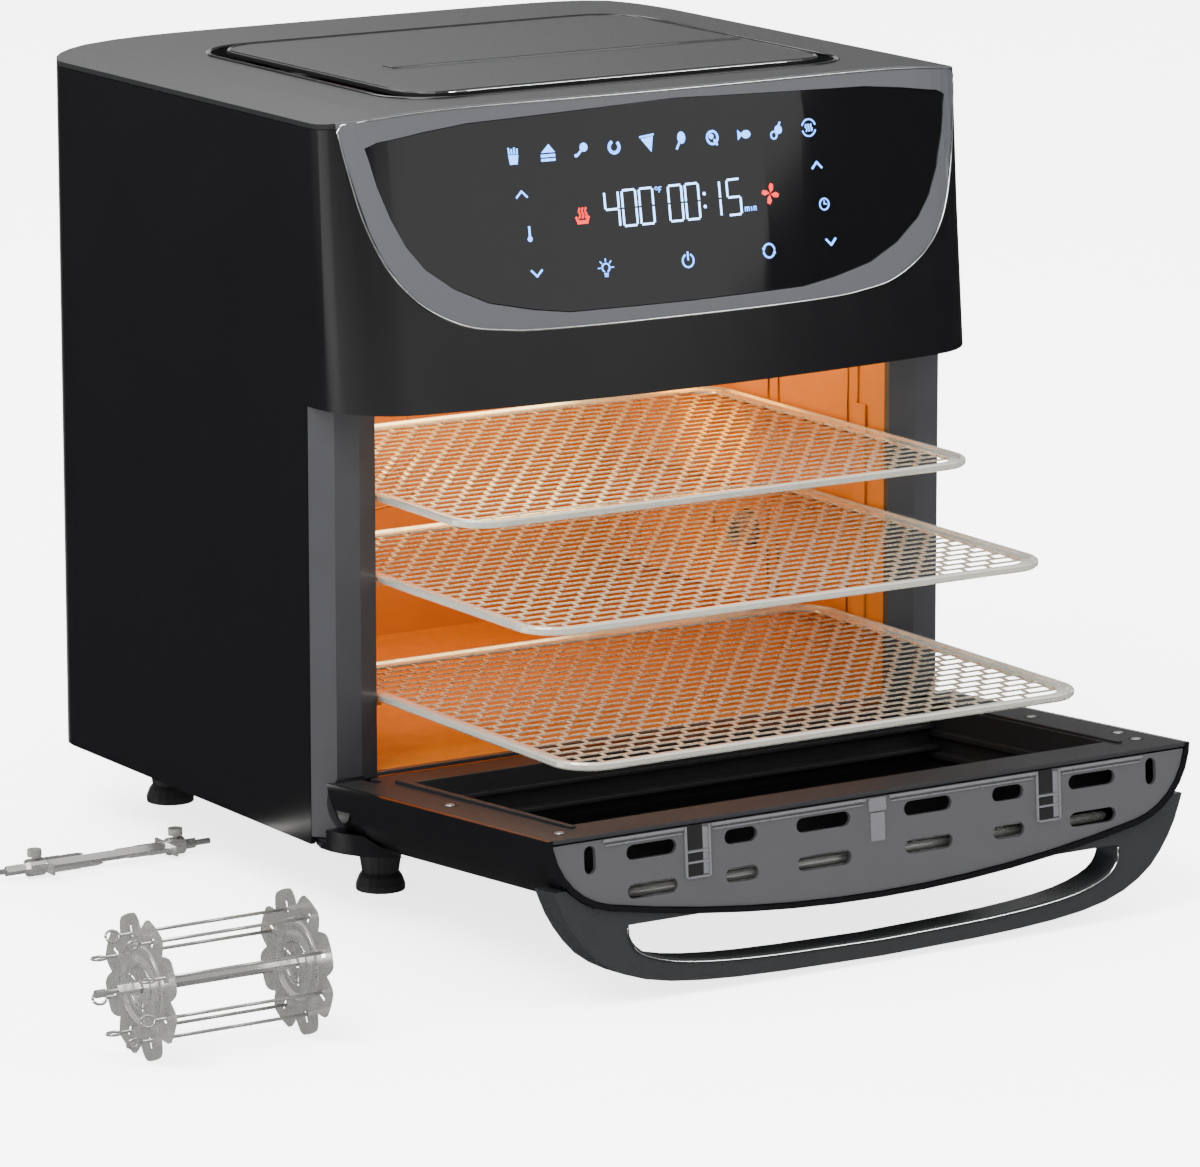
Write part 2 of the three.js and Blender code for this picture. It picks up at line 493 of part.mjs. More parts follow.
const baseTrim = () => {
  const plan = [new THREE.Vector2(HALF - WALL, -0.6), new THREE.Vector2(-HALF + WALL, -0.6),
    ...frontCurve(0)];
  const tray = solid(prismZ(plan, FEET, FEET + 4 - GAP));
  const corners = solid(prismZ(plan, FEET, FEET + 10))
    .intersect(block(-HALF, HALF, -FRONT_REACH, -CHEEK_DEPTH - 1.5, FEET, FEET + 10));
  return less(joined([tray, corners]), sweep).decompose().sort((a, b) => b.volume() - a.volume());
};
add('base_front_trim', baseTrim()[0], satin);

// ---------------------------------------------------------------- control panel
const panelSkin = (proud) => leanedBlock(-proud).subtract(leanedBlock(WALL, FASCIA_Z - 1, TOP_Z + 3));
const bezel = panelSkin(0.6).intersect(fascia(bezelOutline())).intersect(underCrown(HEIGHT))
  .subtract(fascia(glassOutline(GAP)));
add('control_bezel', bezel, satin);
add('control_glass', panelSkin(0).intersect(fascia(glassOutline())), glass);
add('control_board', block(-HALF + 75, HALF - 75, -24, -22.4,
  PANEL_LOW + 16, TOP_Z - 16), board);

// ---------------------------------------------------------------- cavity
const liner = () => {
  const outer = block(-CAVITY_HALF - SHEET, CAVITY_HALF + SHEET, CAVITY_FRONT, CAVITY_REAR + SHEET,
    OPENING_BOTTOM - SHEET, CAVITY_TOP + SHEET);
  const room = block(-CAVITY_HALF, CAVITY_HALF, CAVITY_FRONT + SHEET, CAVITY_REAR,
    OPENING_BOTTOM, CAVITY_TOP);
  const mouth = block(-CAVITY_HALF, CAVITY_HALF, CAVITY_FRONT - 1, CAVITY_FRONT + SHEET + 1,
    OPENING_BOTTOM, FASCIA_Z - 6);
  const shaft = solid(rod(7, CAVITY_TOP - 2, CAVITY_TOP + 4, 16).translate(0, FAN_Y, 0));
  const leads = [-1, 1].map((s) => solid(rod(COIL_TUBE + 1, CAVITY_TOP - 2, CAVITY_TOP + 4, 10)
    .translate(s * 14, FAN_Y + COIL_RADIUS, 0)));
  const drive = solid(alongX(rod(10, CAVITY_HALF - 2, CAVITY_HALF + 4, 18))
    .translate(0, SPIT_Y, SPIT_Z));
  const lamp = solid(prismX(LAMP_OUTLINE(GAP), CAVITY_HALF - 2, CAVITY_HALF + 4));
  return less(outer, [room, mouth, shaft, ...leads, drive, lamp]);
};
const LAMP = { y: 150, z: 236, width: 62, height: 40 };
const LAMP_OUTLINE = (grow) => roundedBox(LAMP.y - LAMP.width / 2 - grow, LAMP.y + LAMP.width / 2 + grow,
  LAMP.z - LAMP.height / 2 - grow, LAMP.z + LAMP.height / 2 + grow, 5, 3);
add('cavity_liner', liner(), enamel);
// A ladder of three runners on each side wall, joined by two upright straps.
const ladder = (side) => {
  const wall = CAVITY_HALF - GAP;
  const bar = (x, y0, y1, z0, z1) => block(...[side * wall, side * (wall - x)].sort((a, b) => a - b),
    y0, y1, z0, z1);
  const runners = Object.values(RACKS).map((rack) => {
    const top = rack.z - RACK_RIM / 2 - 0.4;
    return bar(RUNNER_REACH, CAVITY_FRONT + 4, CAVITY_REAR - 8, top - RUNNER, top);
  });
  const straps = [CAVITY_FRONT + 20, CAVITY_REAR - 24].map((y) => bar(1, y - 5, y + 5,
    RACKS.bottom.z - RACK_RIM - 3, RACKS.top.z + 12));
  return joined([...runners, ...straps]);
};
for (const [side, sign] of both) add(`runner_ladder_${side}`, ladder(sign), steel);
add('lamp_lens', prismX(LAMP_OUTLINE(0), CAVITY_HALF + 0.1, CAVITY_HALF + 2), glass);
const lampBox = solid(prismX(LAMP_OUTLINE(4), CAVITY_HALF + 2.6, CAVITY_HALF + 24))
  .subtract(solid(prismX(LAMP_OUTLINE(2), CAVITY_HALF + 1, CAVITY_HALF + 22)));
add('lamp_housing', lampBox, steel);

// ---------------------------------------------------------------- heater, fans, motor
const COIL_Z = CAVITY_TOP - 18;
const coil = () => {
  const turn = 2 * Math.PI - 0.34;
  const loop = Array.from({ length: 22 }, (_, i) => {
    const angle = Math.PI / 2 + 0.17 + (turn * i) / 21;
    return [COIL_RADIUS * Math.cos(angle), FAN_Y + COIL_RADIUS * Math.sin(angle), COIL_Z];
  });
  const end = (side) => [side * 14, FAN_Y + COIL_RADIUS, CAVITY_TOP + 12];
  return wire([end(-1), [-14.5, FAN_Y + COIL_RADIUS, COIL_Z + 8], ...loop,
    [14.5, FAN_Y + COIL_RADIUS, COIL_Z + 8], end(1)], COIL_TUBE, 8, false, 60);
};
add('heater_coil', coil(), steel);
const guard = () => {
  const z = COIL_Z - 12;
  const disc = solid(rod(COIL_RADIUS + 12, z, z + 1.2, 32).translate(0, FAN_Y, 0));
  const rings = [24, 42, 60, 78, 96].flatMap((r, k) => Array.from({ length: 6 }, (_, i) => {
    const step = Math.PI / 3;
    const from = i * step + 0.06 + 2 / r + (k % 2) * 0.2;
    const to = (i + 1) * step - 0.06 - 2 / r + (k % 2) * 0.2;
    return solid(prismZ([...arc(0, FAN_Y, r + 5, from, to, 4),
      ...arc(0, FAN_Y, r - 5, from, to, 4).reverse()], z - 1, z + 3));
  }));
  const posts = [0.5, 2.6, 4.7].map((angle) => solid(rod(2.4, z, CAVITY_TOP - GAP, 10).translate(
    (COIL_RADIUS + 9) * Math.cos(angle), FAN_Y + (COIL_RADIUS + 9) * Math.sin(angle), 0)));
  return less(disc, rings).add(joined(posts));
};
add('heater_guard', guard(), steel);

const fan = (z0, z1, radius, hub, blades) => joined([
  solid(rod(hub, z0, z1, 18)),
  ...Array.from({ length: blades }, (_, i) => block(hub - 1, radius, -0.7, 0.7, z0, z1)
    .rotate([0, 0, (360 * i) / blades])),
]);
const SHAFT = 2.5;
const MOTOR = { z0: CAVITY_TOP + 6, z1: CAVITY_TOP + 32, radius: 27 };
const convection = joined([fan(COIL_Z - 8, COIL_Z + 12, 70, 9, 8),
  solid(rod(SHAFT, COIL_Z, HEIGHT - LID.dish - 3, 12))]).translate([0, FAN_Y, 0]);
add('convection_fan', convection, steel);
const cooling = fan(MOTOR.z1 + 2, HEIGHT - LID.dish - 4, 40, 7, 7)
  .subtract(solid(rod(SHAFT + GAP, 0, HEIGHT, 12))).translate([0, FAN_Y, 0]);
add('cooling_fan', cooling, black);
const motor = solid(rod(MOTOR.radius, MOTOR.z0, MOTOR.z1, 24))
  .subtract(solid(rod(SHAFT + GAP, 0, HEIGHT, 12))).translate([0, FAN_Y, 0]);
add('fan_motor', motor, steel);
const bracket = joined([
  block(-46, 46, FAN_Y - 8, FAN_Y + 8, MOTOR.z0 - 1.5, MOTOR.z0 - GAP),
  ...[-1, 1].map((s) => block(s * 45 - 1, s * 45 + 1, FAN_Y - 8, FAN_Y + 8,
    CAVITY_TOP + SHEET + GAP, MOTOR.z0 - GAP)),
]).subtract(solid(rod(6, 0, HEIGHT, 14)).translate([0, FAN_Y, 0]));
add('motor_bracket', bracket, steel);

// ---------------------------------------------------------------- rotisserie drive, controls
const driveX = CAVITY_HALF + SHEET;
const socket = joined([
  solid(alongX(rod(8.5, CAVITY_HALF - 9, driveX + 5, 18))),
]).subtract(block(CAVITY_HALF - 12, CAVITY_HALF - 1, -4.5, 4.5, -4.5, 4.5))
  .translate([0, SPIT_Y, SPIT_Z]);
add('drive_socket', socket, steel);
add('rotisserie_motor', joined([block(driveX + 5.6, driveX + 24, -24, 24, -20, 20),
  block(driveX + 6, driveX + 15, -33, 33, -6, 6)]).translate([0, SPIT_Y, SPIT_Z]), black);
const support = block(-CAVITY_HALF + GAP, -CAVITY_HALF + 7, -13, 13, -16, 12)
  .subtract(block(-CAVITY_HALF - 1, -CAVITY_HALF + 9, -5, 5, -5, 13))
  .subtract(solid(alongX(rod(5, -CAVITY_HALF - 2, -CAVITY_HALF + 9, 14)).translate(0, 0, -5)))
  .translate([0, SPIT_Y, SPIT_Z]);
add('spit_support', support, steel);
add('power_board', block(-CAVITY_HALF - 16, -CAVITY_HALF - 14.4, 60, 200, 110, 230), board);
add('thermostat', joined([solid(alongX(rod(9, CAVITY_HALF + SHEET + GAP, CAVITY_HALF + 9, 16))),
  block(CAVITY_HALF + 8, CAVITY_HALF + 13, -3, 3, -6, 6)]).translate([0, 60, 232]), ceramic);
const SWITCH = { x: -CAVITY_HALF - 22, z: 214 };
add('door_switch', block(SWITCH.x - 4, SWITCH.x + 4, 6, 24, SWITCH.z - 8, SWITCH.z + 8), black);

// ---------------------------------------------------------------- racks
const rack = ({ z, out }) => {
  const plan = (inset) => roundedBox(-RACK_WIDTH / 2 + inset, RACK_WIDTH / 2 - inset,
    inset, RACK_DEPTH - inset, RACK_RADIUS - inset, 4);
  const rim = solid(prismZ(plan(0), -RACK_RIM / 2, RACK_RIM / 2))
    .subtract(solid(prismZ(plan(RACK_RIM), -RACK_RIM, RACK_RIM)));
  const deck = solid(prismZ(plan(RACK_RIM / 2), -DECK / 2, DECK / 2));
  const [across, along, rib] = [8, 6, 4];
  const pitchX = (RACK_WIDTH - 2 * RACK_RIM - rib) / across;
  const pitchY = (RACK_DEPTH - 2 * RACK_RIM - rib) / along;
  const windows = Array.from({ length: across * along }, (_, i) => {
    const x = -RACK_WIDTH / 2 + RACK_RIM + rib + pitchX * (i % across);
    const y = RACK_RIM + rib + pitchY * Math.floor(i / across);
    return block(x, x + pitchX - rib, y, y + pitchY - rib, -3, 3);
  });
  const corners = solid(prismZ(plan(RACK_RIM + 3), -4, 4));
  return less(deck, [wasm.Manifold.union(windows).intersect(corners)]).add(rim)
    .translate([0, -out, z]);
};
for (const [level, dims] of Object.entries(RACKS)) add(`rack_${level}`, rack(dims), steel);

// ---------------------------------------------------------------- spit and forks
const spitAt = (shape) => shape.translate([SPIT.x, SPIT.y, SPIT.axis]);
add('spit_rod', spitAt(solid(new THREE.BoxGeometry(SPIT.length, 2 * SPIT.half, 2 * SPIT.half)
  .translate(SPIT.length / 2, 0, 0))), steel);
for (const [side, at, way] of [['left', FORK.left, 1], ['right', FORK.right, -1]]) {
  const tineX = (y) => solid(turned([[0, 0], [FORK.wire, 0], [FORK.wire, FORK.tine - 5],
    [0, FORK.tine]], 8).rotateY((way * Math.PI) / 2).translate(0, y, 0));
  const reach = way > 0 ? FORK.spread : FORK.spread - 4;
  const fork = joined([
    block(-FORK.thick / 2, FORK.thick / 2, -FORK.spread, FORK.spread, -FORK.strip / 2, FORK.strip / 2),
    solid(alongX(rod(4.6, way > 0 ? -9 : 0, way > 0 ? 0 : 9, 14))),
    tineX(reach), tineX(-reach),
  ]).subtract(block(-12, 12, -SPIT.half - GAP, SPIT.half + GAP, -SPIT.half - GAP, SPIT.half + GAP))
    .subtract(solid(rod(1.6, 0, 9, 10).translate(-way * 5, 0, 0)));
  add(`spit_fork_${side}`, spitAt(fork.translate([at, 0, 0])), steel);
  const screw = turned([[0, SPIT.half + GAP], [1.3, SPIT.half + GAP], [1.3, 5.4], [3.6, 5.4],
    [3.6, 9], [0, 9]], 12).translate(at - way * 5, 0, 0);
  add(`fork_screw_${side}`, spitAt(solid(screw)), steel);
}

// ---------------------------------------------------------------- skewer wheel
const basketZ = BASKET.radius + GAP;
const basketAt = (shape) => shape.translate([BASKET.x, BASKET.y, basketZ]);
const skewerAngle = (i) => (2 * Math.PI * (i + 0.5)) / BASKET.skewers;
const disc = () => {
  const plate = solid(alongX(rod(BASKET.radius, -BASKET.disc / 2, BASKET.disc / 2, 40)));
  const cuts = Array.from({ length: BASKET.skewers }, (_, i) => {
    const angle = THREE.MathUtils.radToDeg(skewerAngle(i));
    return joined([
      block(-3, 3, BASKET.ring - 1.4, BASKET.ring + 1.4, -1.4, 1.4),
      block(-3, 3, BASKET.radius - 4, BASKET.radius + 3, 6, 9),
      block(-3, 3, 10, 18, -1.5, 1.5),
    ]).rotate([angle, 0, 0]);
  });
  return less(plate, [...cuts, block(-3, 3, -2.3, 2.3, -2.3, 2.3)]);
};
const wheel = disc();
add('wheel_disc_left', basketAt(wheel), steel);
add('wheel_disc_right', basketAt(wheel.translate([BASKET.length, 0, 0])), steel);
add('wheel_rod', basketAt(block(-23, BASKET.length + 4, -2, 2, -2, 2)), steel);
const skewer = () => {
  const shank = solid(alongX(rod(0.9, -6, BASKET.length + 5, 6)));
  const eye = new THREE.TorusGeometry(3, 0.9, 5, 10).rotateX(Math.PI / 2).translate(-8.6, 0, 0);
  return shank.add(solid(eye));
};
for (let i = 0; i < BASKET.skewers; i += 1) {
  const angle = skewerAngle(i);
  add(`skewer_${i + 1}`, basketAt(skewer().rotate([THREE.MathUtils.radToDeg(angle), 0, 0])
    .translate([0, BASKET.ring * Math.cos(angle), BASKET.ring * Math.sin(angle)])), steel);
}

// ---------------------------------------------------------------- centre the footprint
oven.updateMatrixWorld(true);
const bounds = new THREE.Box3().setFromObject(oven, true);
const centre = bounds.getCenter(new THREE.Vector3());
oven.position.set(-centre.x, -centre.y, -bounds.min.z);
oven.updateMatrixWorld(true);
export default oven;
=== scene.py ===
import math

import bmesh
import bpy
from mathutils import Matrix, Vector


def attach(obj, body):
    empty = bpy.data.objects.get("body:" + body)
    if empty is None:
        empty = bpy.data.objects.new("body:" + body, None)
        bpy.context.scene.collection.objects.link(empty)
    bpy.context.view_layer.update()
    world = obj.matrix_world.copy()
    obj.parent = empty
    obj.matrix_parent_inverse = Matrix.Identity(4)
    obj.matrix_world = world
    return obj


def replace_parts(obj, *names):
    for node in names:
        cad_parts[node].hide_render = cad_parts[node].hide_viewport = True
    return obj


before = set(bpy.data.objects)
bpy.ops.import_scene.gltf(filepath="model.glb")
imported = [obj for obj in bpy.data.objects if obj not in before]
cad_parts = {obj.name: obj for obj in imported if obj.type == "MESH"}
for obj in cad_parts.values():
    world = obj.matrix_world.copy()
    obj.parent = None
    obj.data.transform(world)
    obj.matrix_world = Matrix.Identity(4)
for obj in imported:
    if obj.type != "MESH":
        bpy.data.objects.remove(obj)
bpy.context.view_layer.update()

MM = 0.001
# The oven's own frame, in millimetres: x right, y back from the side panels' front edge,
# z up from the table. ORIGIN is where that frame sits in the row frame.
ORIGIN = Vector((105, -26.947, 0))
HALF, DEPTH, HEIGHT, CROWN = 180, 262, 380, 7      # body half-width, and the top cover's rise
TOP = HEIGHT + CROWN
FASCIA_Z, PANEL_LOW, LEAN = 246.5, 281, 0.4        # lower edges of the fascia and bezel, its lean
REACH, CORNER_X, CORNER_R, TANGENT = 59, 140, 40, 9.3
DOOR_FACE, DOOR_LOW, DOOR_TOP, DOOR_OPEN = 12.5, 47.2, 244.5, 86
WELL_DEPTH, WELL_LOW, WELL_HIGH = 29, 26, 28       # recess in the door, and its edges from the ends
DOOR_FRONT, HANDLE_DROP = 21.3, 28                 # recess floor to the bowed outside, then the bar
HINGE = Vector((0, -24.6, 56.2))
WALL_X = 146.8                                     # just proud of the cavity's side walls
REAR_WALL_Y = 248.9                                # just proud of the cavity's rear wall
# Each rack's deck height, and how far it is drawn out.
RACKS = {"top": (199.6, 88.3), "middle": (160.3, 149), "bottom": (102.8, 179.4)}


def row(point):
    """A point of the oven's frame, in metres of the row frame."""
    return (Vector(point) + ORIGIN) * MM


# ---------------------------------------------------------------- materials
NOISE_SPAN = {"From Min": 0.3, "From Max": 0.7}    # noise seldom leaves this span
DETAIL = 3
PATCH = 6                                          # a patch of tone, in sizes of the grain
GRAIN_HEIGHT = 0.2 * MM


def linear(text):
    """An sRGB hex colour as linear RGBA."""
    parts = [int(text[i:i + 2], 16) / 255 for i in (1, 3, 5)]
    return [c / 12.92 if c <= 0.04045 else ((c + 0.055) / 1.055) ** 2.4 for c in parts] + [1]


def add(tree, kind, inputs=(), out=0, **settings):
    """A node with its settings and links, new or already there by name; gives an output."""
    node = tree.nodes.get(kind) or tree.nodes.new(kind)
    for key, value in settings.items():
        setattr(node, key, value)
    for key, value in dict(inputs).items():
        if isinstance(value, bpy.types.NodeSocket):
            tree.links.new(value, node.inputs[key])
        else:
            node.inputs[key].default_value = value
    return node.outputs[out]


def surface(name, colour, rough, metal=0.0, size=3.0, vary=0.04, bump=0.0, stretch=(1, 1, 1),
            tone=0.0, glow=0.0, **extra):
    """A material whose polish strays by vary in spots about size millimetres across.

    bump raises the spots as grain, stretch draws them out along an axis, tone darkens the
    colour in wider patches, and glow is the strength of its own light.
    """
    made = bpy.data.materials.new(name)
    made.use_nodes = True
    tree = made.node_tree
    place = along = add(tree, "ShaderNodeTexCoord", out="Object")
    if stretch != (1, 1, 1):
        along = add(tree, "ShaderNodeMapping", {"Vector": place, "Scale": stretch})
    grain = add(tree, "ShaderNodeTexNoise", {"Vector": along, "Scale": 1 / (size * MM),
                                             "Detail": DETAIL})
    base = linear(colour)
    inputs = {"Metallic": metal, "Roughness": add(tree, "ShaderNodeMapRange", {
        "Value": grain, **NOISE_SPAN, "To Min": rough - vary, "To Max": rough + vary})}
    if glow:
        inputs["Emission Color"] = base
        inputs["Emission Strength"] = add(tree, "ShaderNodeMapRange", {
            "Value": grain, **NOISE_SPAN, "To Min": glow * 0.9, "To Max": glow * 1.1})
    if tone:
        patches = add(tree, "ShaderNodeTexNoise", {"Vector": place, "Detail": DETAIL,
                                                   "Scale": 1 / (PATCH * size * MM)})
        share = add(tree, "ShaderNodeMapRange", {"Value": patches, **NOISE_SPAN})
        dark = [c * (1 - tone) for c in base[:3]] + [1]
        base = add(tree, "ShaderNodeMix", {0: share, 6: base, 7: dark}, 2, data_type="RGBA")
    if bump:
        inputs["Normal"] = add(tree, "ShaderNodeBump", {"Height": grain, "Strength": bump,
                                                        "Distance": GRAIN_HEIGHT})
    inputs.update({key.replace("_", " "): value for key, value in extra.items()})
    add(tree, "Principled BSDF", {"Base Color": base, **inputs})
    return made


# Grain that is too fine to show, as on moulded nylon or powder coat, is drawn at about a
# millimetre, as coarse as it needs to show.
M = {
    # ABS moulded in a polished tool: deep black, with broad and slightly wavy reflections.
    "gloss": surface("gloss_black_abs", "#070708", 0.16, size=60, vary=0.02, Specular_IOR_Level=0.4),
    # ABS moulded in an etched tool: black, with a wide dull sheen.
    "cover": surface("satin_black_cover", "#0b0c0d", 0.42, size=1.2, vary=0.03),
    # Sprayed graphite lacquer: dark grey, with a clear highlight along the bow.
    "bezel": surface("graphite_bezel", "#333437", 0.3, size=14, vary=0.02),
    # A thin bright metal line laid on a rounded edge for its highlight: a painted highlight.
    "edge_highlight": surface("painted_edge_highlight", "#dfe0e0", 0.16, 1, size=8),
    # Toughened glass printed black behind: near black, until it mirrors a light.
    "panel": surface("touch_glass", "#060607", 0.05, size=40, vary=0.01),
    # Painted steel: flat dark grey, with a fine tooth and a little mottling.
    "frame": surface("grey_painted_steel", "#242427", 0.42, size=1.5, bump=0.06, tone=0.1),
    # Nylon moulded with a fine grain: matt grey that scatters its highlights.
    "strip": surface("grey_nylon", "#2c2c2e", 0.42, size=0.9, bump=0.12, tone=0.05),
    # The same nylon made paler on the raised lips for the light they catch: a painted highlight, with a
    # tighter shine.
    "lip": surface("paler_grey_nylon_painted_highlight", "#3f3f42", 0.3, size=5, vary=0.05),
    # Black nylon moulded with a fine grain: almost without shine.
    "inner": surface("satin_black_nylon", "#18181a", 0.46, size=0.9, bump=0.1, tone=0.08,
                     Specular_IOR_Level=0.16),
    # Rolled stainless sheet: mid grey, its polish uneven.
    "steel": surface("stainless_steel", "#b2b1ad", 0.22, 0.85, size=6, vary=0.06),
    # Slit and drawn stainless mesh: pale, with a warm tint that is painted light from the cavity's lamp, a
    # little dull on its sheared strands.
    "mesh": surface("lamp_tinted_stainless_mesh", "#cfc4ae", 0.3, 0.8, size=2, vary=0.08),
    # Polished rolled rim: the brightest line on a rack.
    "rim": surface("polished_wire_rim", "#dbd8cb", 0.2, 0.78, size=6, vary=0.05),
    # Drawn wire: darker steel, with highlights pulled out along its length.
    "wire": surface("drawn_stainless_wire", "#9c9b98", 0.24, 0.85, size=4, stretch=(0.1, 1, 1)),
    # Cavity steel coloured amber for the lamp's glow on it: painted lamp light, faintly rippled and toned.
    "liner": surface("lamp_lit_amber_liner", "#a65a06", 0.36, size=9, vary=0.06, bump=0.05,
                     tone=0.1),
    # Hot-dipped zinc: dull silver in darker and paler patches.
    "galvanised": surface("galvanised_steel", "#9fa3a6", 0.4, 1, size=14, vary=0.12, tone=0.25),
    # Moulded rubber: black and soft, with no clear highlight.
    "rubber": surface("black_rubber", "#0c0c0d", 0.55, size=0.8, bump=0.15),
    # Satin-lacquered handle: black, with one long soft highlight.
    "handle": surface("satin_black_handle", "#18191a", 0.28, size=20, vary=0.03),
    # Textured powder coat: black, its highlights broken up by fine pebbling.
    "black": surface("black_powder_coat", "#0a0a0b", 0.5, size=0.6, bump=0.2),
    # Glass-fibre board under green lacquer: semi-matt and mottled.
    "board": surface("green_fibreglass_board", "#1c5431", 0.45, size=2, tone=0.3),
    # Fired ceramic: off-white and smooth.
    "ceramic": surface("white_ceramic", "#e7e2d6", 0.35, size=3, tone=0.08),
    # Heater sheath at red heat: orange that lights what is near it.
    "hot": surface("glowing_heater_sheath", "#ff5a10", 0.5, size=2, vary=0, glow=3.0),
    # Printed film lit from behind: flat, even colour that needs no other light.
    "icon": surface("lit_icon_blue", "#4f97ff", 0.5, size=2, vary=0, glow=1.1),
    "digit": surface("lit_digit_blue_white", "#8fc2ff", 0.5, size=2, vary=0, glow=2.2),
    "red": surface("lit_icon_red", "#c80803", 0.5, size=2, vary=0, glow=0.5),
    # Frosted lamp glass: a warm glow without a visible filament.
    "lamp": surface("lit_lamp_glass", "#ffb52e", 0.5, size=2, vary=0, glow=4.0),
    # Smoked tempered glass: near black and mirror smooth, faintly seen through.
    "window": surface("smoked_door_glass", "#0a0a0b", 0.055, size=30, vary=0.025, Alpha=0.84),
}
CAD_LOOKS = {
    "body_shell": "gloss", "top_cover": "cover", "top_vent_lid": "cover", "control_bezel": "bezel",
    "control_glass": "panel", "front_frame": "frame", "base_front_trim": "gloss",
    "door_outer_shell": "gloss", "door_handle": "handle", "door_inner_frame": "inner",
    "door_end_strip": "strip", "door_outer_glass": "window", "door_inner_glass": "window",
    "cavity_liner": "liner", "lamp_lens": "lamp", "heater_coil": "hot", "rear_cover": "black",
    "base_pan": "black", "cord_gland": "rubber", "cooling_fan": "black", "door_switch": "black",
    "rotisserie_motor": "black", "control_board": "board", "power_board": "board",
    "thermostat": "ceramic", "lamp_housing": "galvanised", "fan_motor": "galvanised",
    "motor_bracket": "galvanised", "heater_guard": "steel", "runner_ladder_left": "liner",
    "runner_ladder_right": "liner",
}
for name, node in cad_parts.items():
    look = CAD_LOOKS.get(name, "rubber" if name.startswith("foot_") else "steel")
    node.data.materials.clear()
    node.data.materials.append(M[look])


# ---------------------------------------------------------------- mesh building
def piece(name, verts, faces, look, body, place=None, smooth=False, bevel=0.0, solidify=0.0):
    """A mesh in the oven's frame, in millimetres, that rides on a CAD body."""
    mesh = bpy.data.meshes.new(name)
    points = [place @ Vector(v) if place else Vector(v) for v in verts]
    mesh.from_pydata([row(p) for p in points], [], faces)
    work = bmesh.new()
    work.from_mesh(mesh)
    bmesh.ops.remove_doubles(work, verts=work.verts, dist=1e-7)
    bmesh.ops.recalc_face_normals(work, faces=work.faces)
    work.to_mesh(mesh)
    work.free()
    made = bpy.data.objects.new(name, mesh)
    bpy.context.scene.collection.objects.link(made)
    mesh.materials.append(M[look])
    if smooth:
        mesh.polygons.foreach_set("use_smooth", [True] * len(mesh.polygons))
    if solidify:
        thick = made.modifiers.new("thickness", "SOLIDIFY")
        thick.thickness, thick.offset = solidify * MM, 0
    if bevel:
        edge = made.modifiers.new("edges", "BEVEL")
        edge.width, edge.segments, edge.limit_method = bevel * MM, 2, "ANGLE"
    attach(made, body)
    return made


BOX_FACES = [(0, 3, 2, 1), (4, 5, 6, 7), (0, 1, 5, 4), (1, 2, 6, 5), (2, 3, 7, 6), (3, 0, 4, 7)]


class Parts:
    """Collects many small solids into one mesh."""

    def __init__(self):
        self.verts, self.faces = [], []

    def add(self, verts, faces):
        base = len(self.verts)
        self.verts += [tuple(v) for v in verts]
        self.faces += [tuple(base + i for i in face) for face in faces]
        return self

    def block(self, low, high, taper=0.0):
        """A box between two corners, drawn in by taper at its top."""
        (x0, y0, z0), (x1, y1, z1), t = low, high, taper
        return self.add([(x0, y0, z0), (x1, y0, z0), (x1, y1, z0), (x0, y1, z0),
                         (x0 + t, y0 + t, z1), (x1 - t, y0 + t, z1), (x1 - t, y1 - t, z1),
                         (x0 + t, y1 - t, z1)], BOX_FACES)

    def tube(self, path, radius, sides=8, closed=False, squash=1.0):
        """A round section swept along a path; squash flattens it in z."""
        points = [Vector(p) for p in path]
        count = len(points)
        rings = []
        for i, p in enumerate(points):
            before = points[i - 1] if i or closed else p
            after = points[(i + 1) % count] if i + 1 < count or closed else p
            along = (after - before).normalized()
            side = along.cross(Vector((0, 0, 1)))
            side = side.normalized() if side.length > 1e-3 else Vector((1, 0, 0))
            up = side.cross(along)
            ring = [p + radius * (math.cos(a) * side + squash * math.sin(a) * up)
                    for a in (2 * math.pi * k / sides for k in range(sides))]
            rings.append(ring)
        faces = []
        for i in range(count if closed else count - 1):
            j = (i + 1) % count
            faces += [(i * sides + k, i * sides + (k + 1) % sides,
                       j * sides + (k + 1) % sides, j * sides + k) for k in range(sides)]
        if not closed:
            faces += [tuple(range(sides))[::-1], tuple((count - 1) * sides + k for k in range(sides))]
        return self.add([v for ring in rings for v in ring], faces)

    def rod(self, x, y, z, sections):
        """A straight bar along x, in sections of length, radius and sides."""
        for length, radius, sides in sections:
            self.tube([(x, y, z), (x + length, y, z)], radius, sides)
            x += length
        return self

    def make(self, name, look, body, **more):
        return piece(name, self.verts, self.faces, look, body, **more)


def arc(cx, cy, radius, start, end, steps):
    """Points on a circle, from one angle to another in degrees."""
    return [(cx + radius * math.cos(math.radians(start + (end - start) * i / steps)),
             cy + radius * math.sin(math.radians(start + (end - start) * i / steps)))
            for i in range(steps + 1)]


def rounded(x0, x1, y0, y1, r, steps):
    """The outline of a rectangle with rounded corners."""
    return (arc(x1 - r, y1 - r, r, 0, 90, steps) + arc(x0 + r, y1 - r, r, 90, 180, steps)
            + arc(x0 + r, y0 + r, r, 180, 270, steps) + arc(x1 - r, y0 + r, r, 270, 360, steps))


def curve(points, steps=6):
    """A smooth line through points."""
    spots, line = [Vector(p) for p in points], []
    for i in range(len(spots) - 1):
        a, b, c, d = (spots[max(0, min(len(spots) - 1, i + k))] for k in (-1, 0, 1, 2))
        line += [0.5 * (2 * b + (c - a) * t + (2 * a - 5 * b + 4 * c - d) * t * t
                        + (3 * b - a - 3 * c + d) * t ** 3) for t in (s / steps for s in range(steps))]
    return line + [spots[-1]]


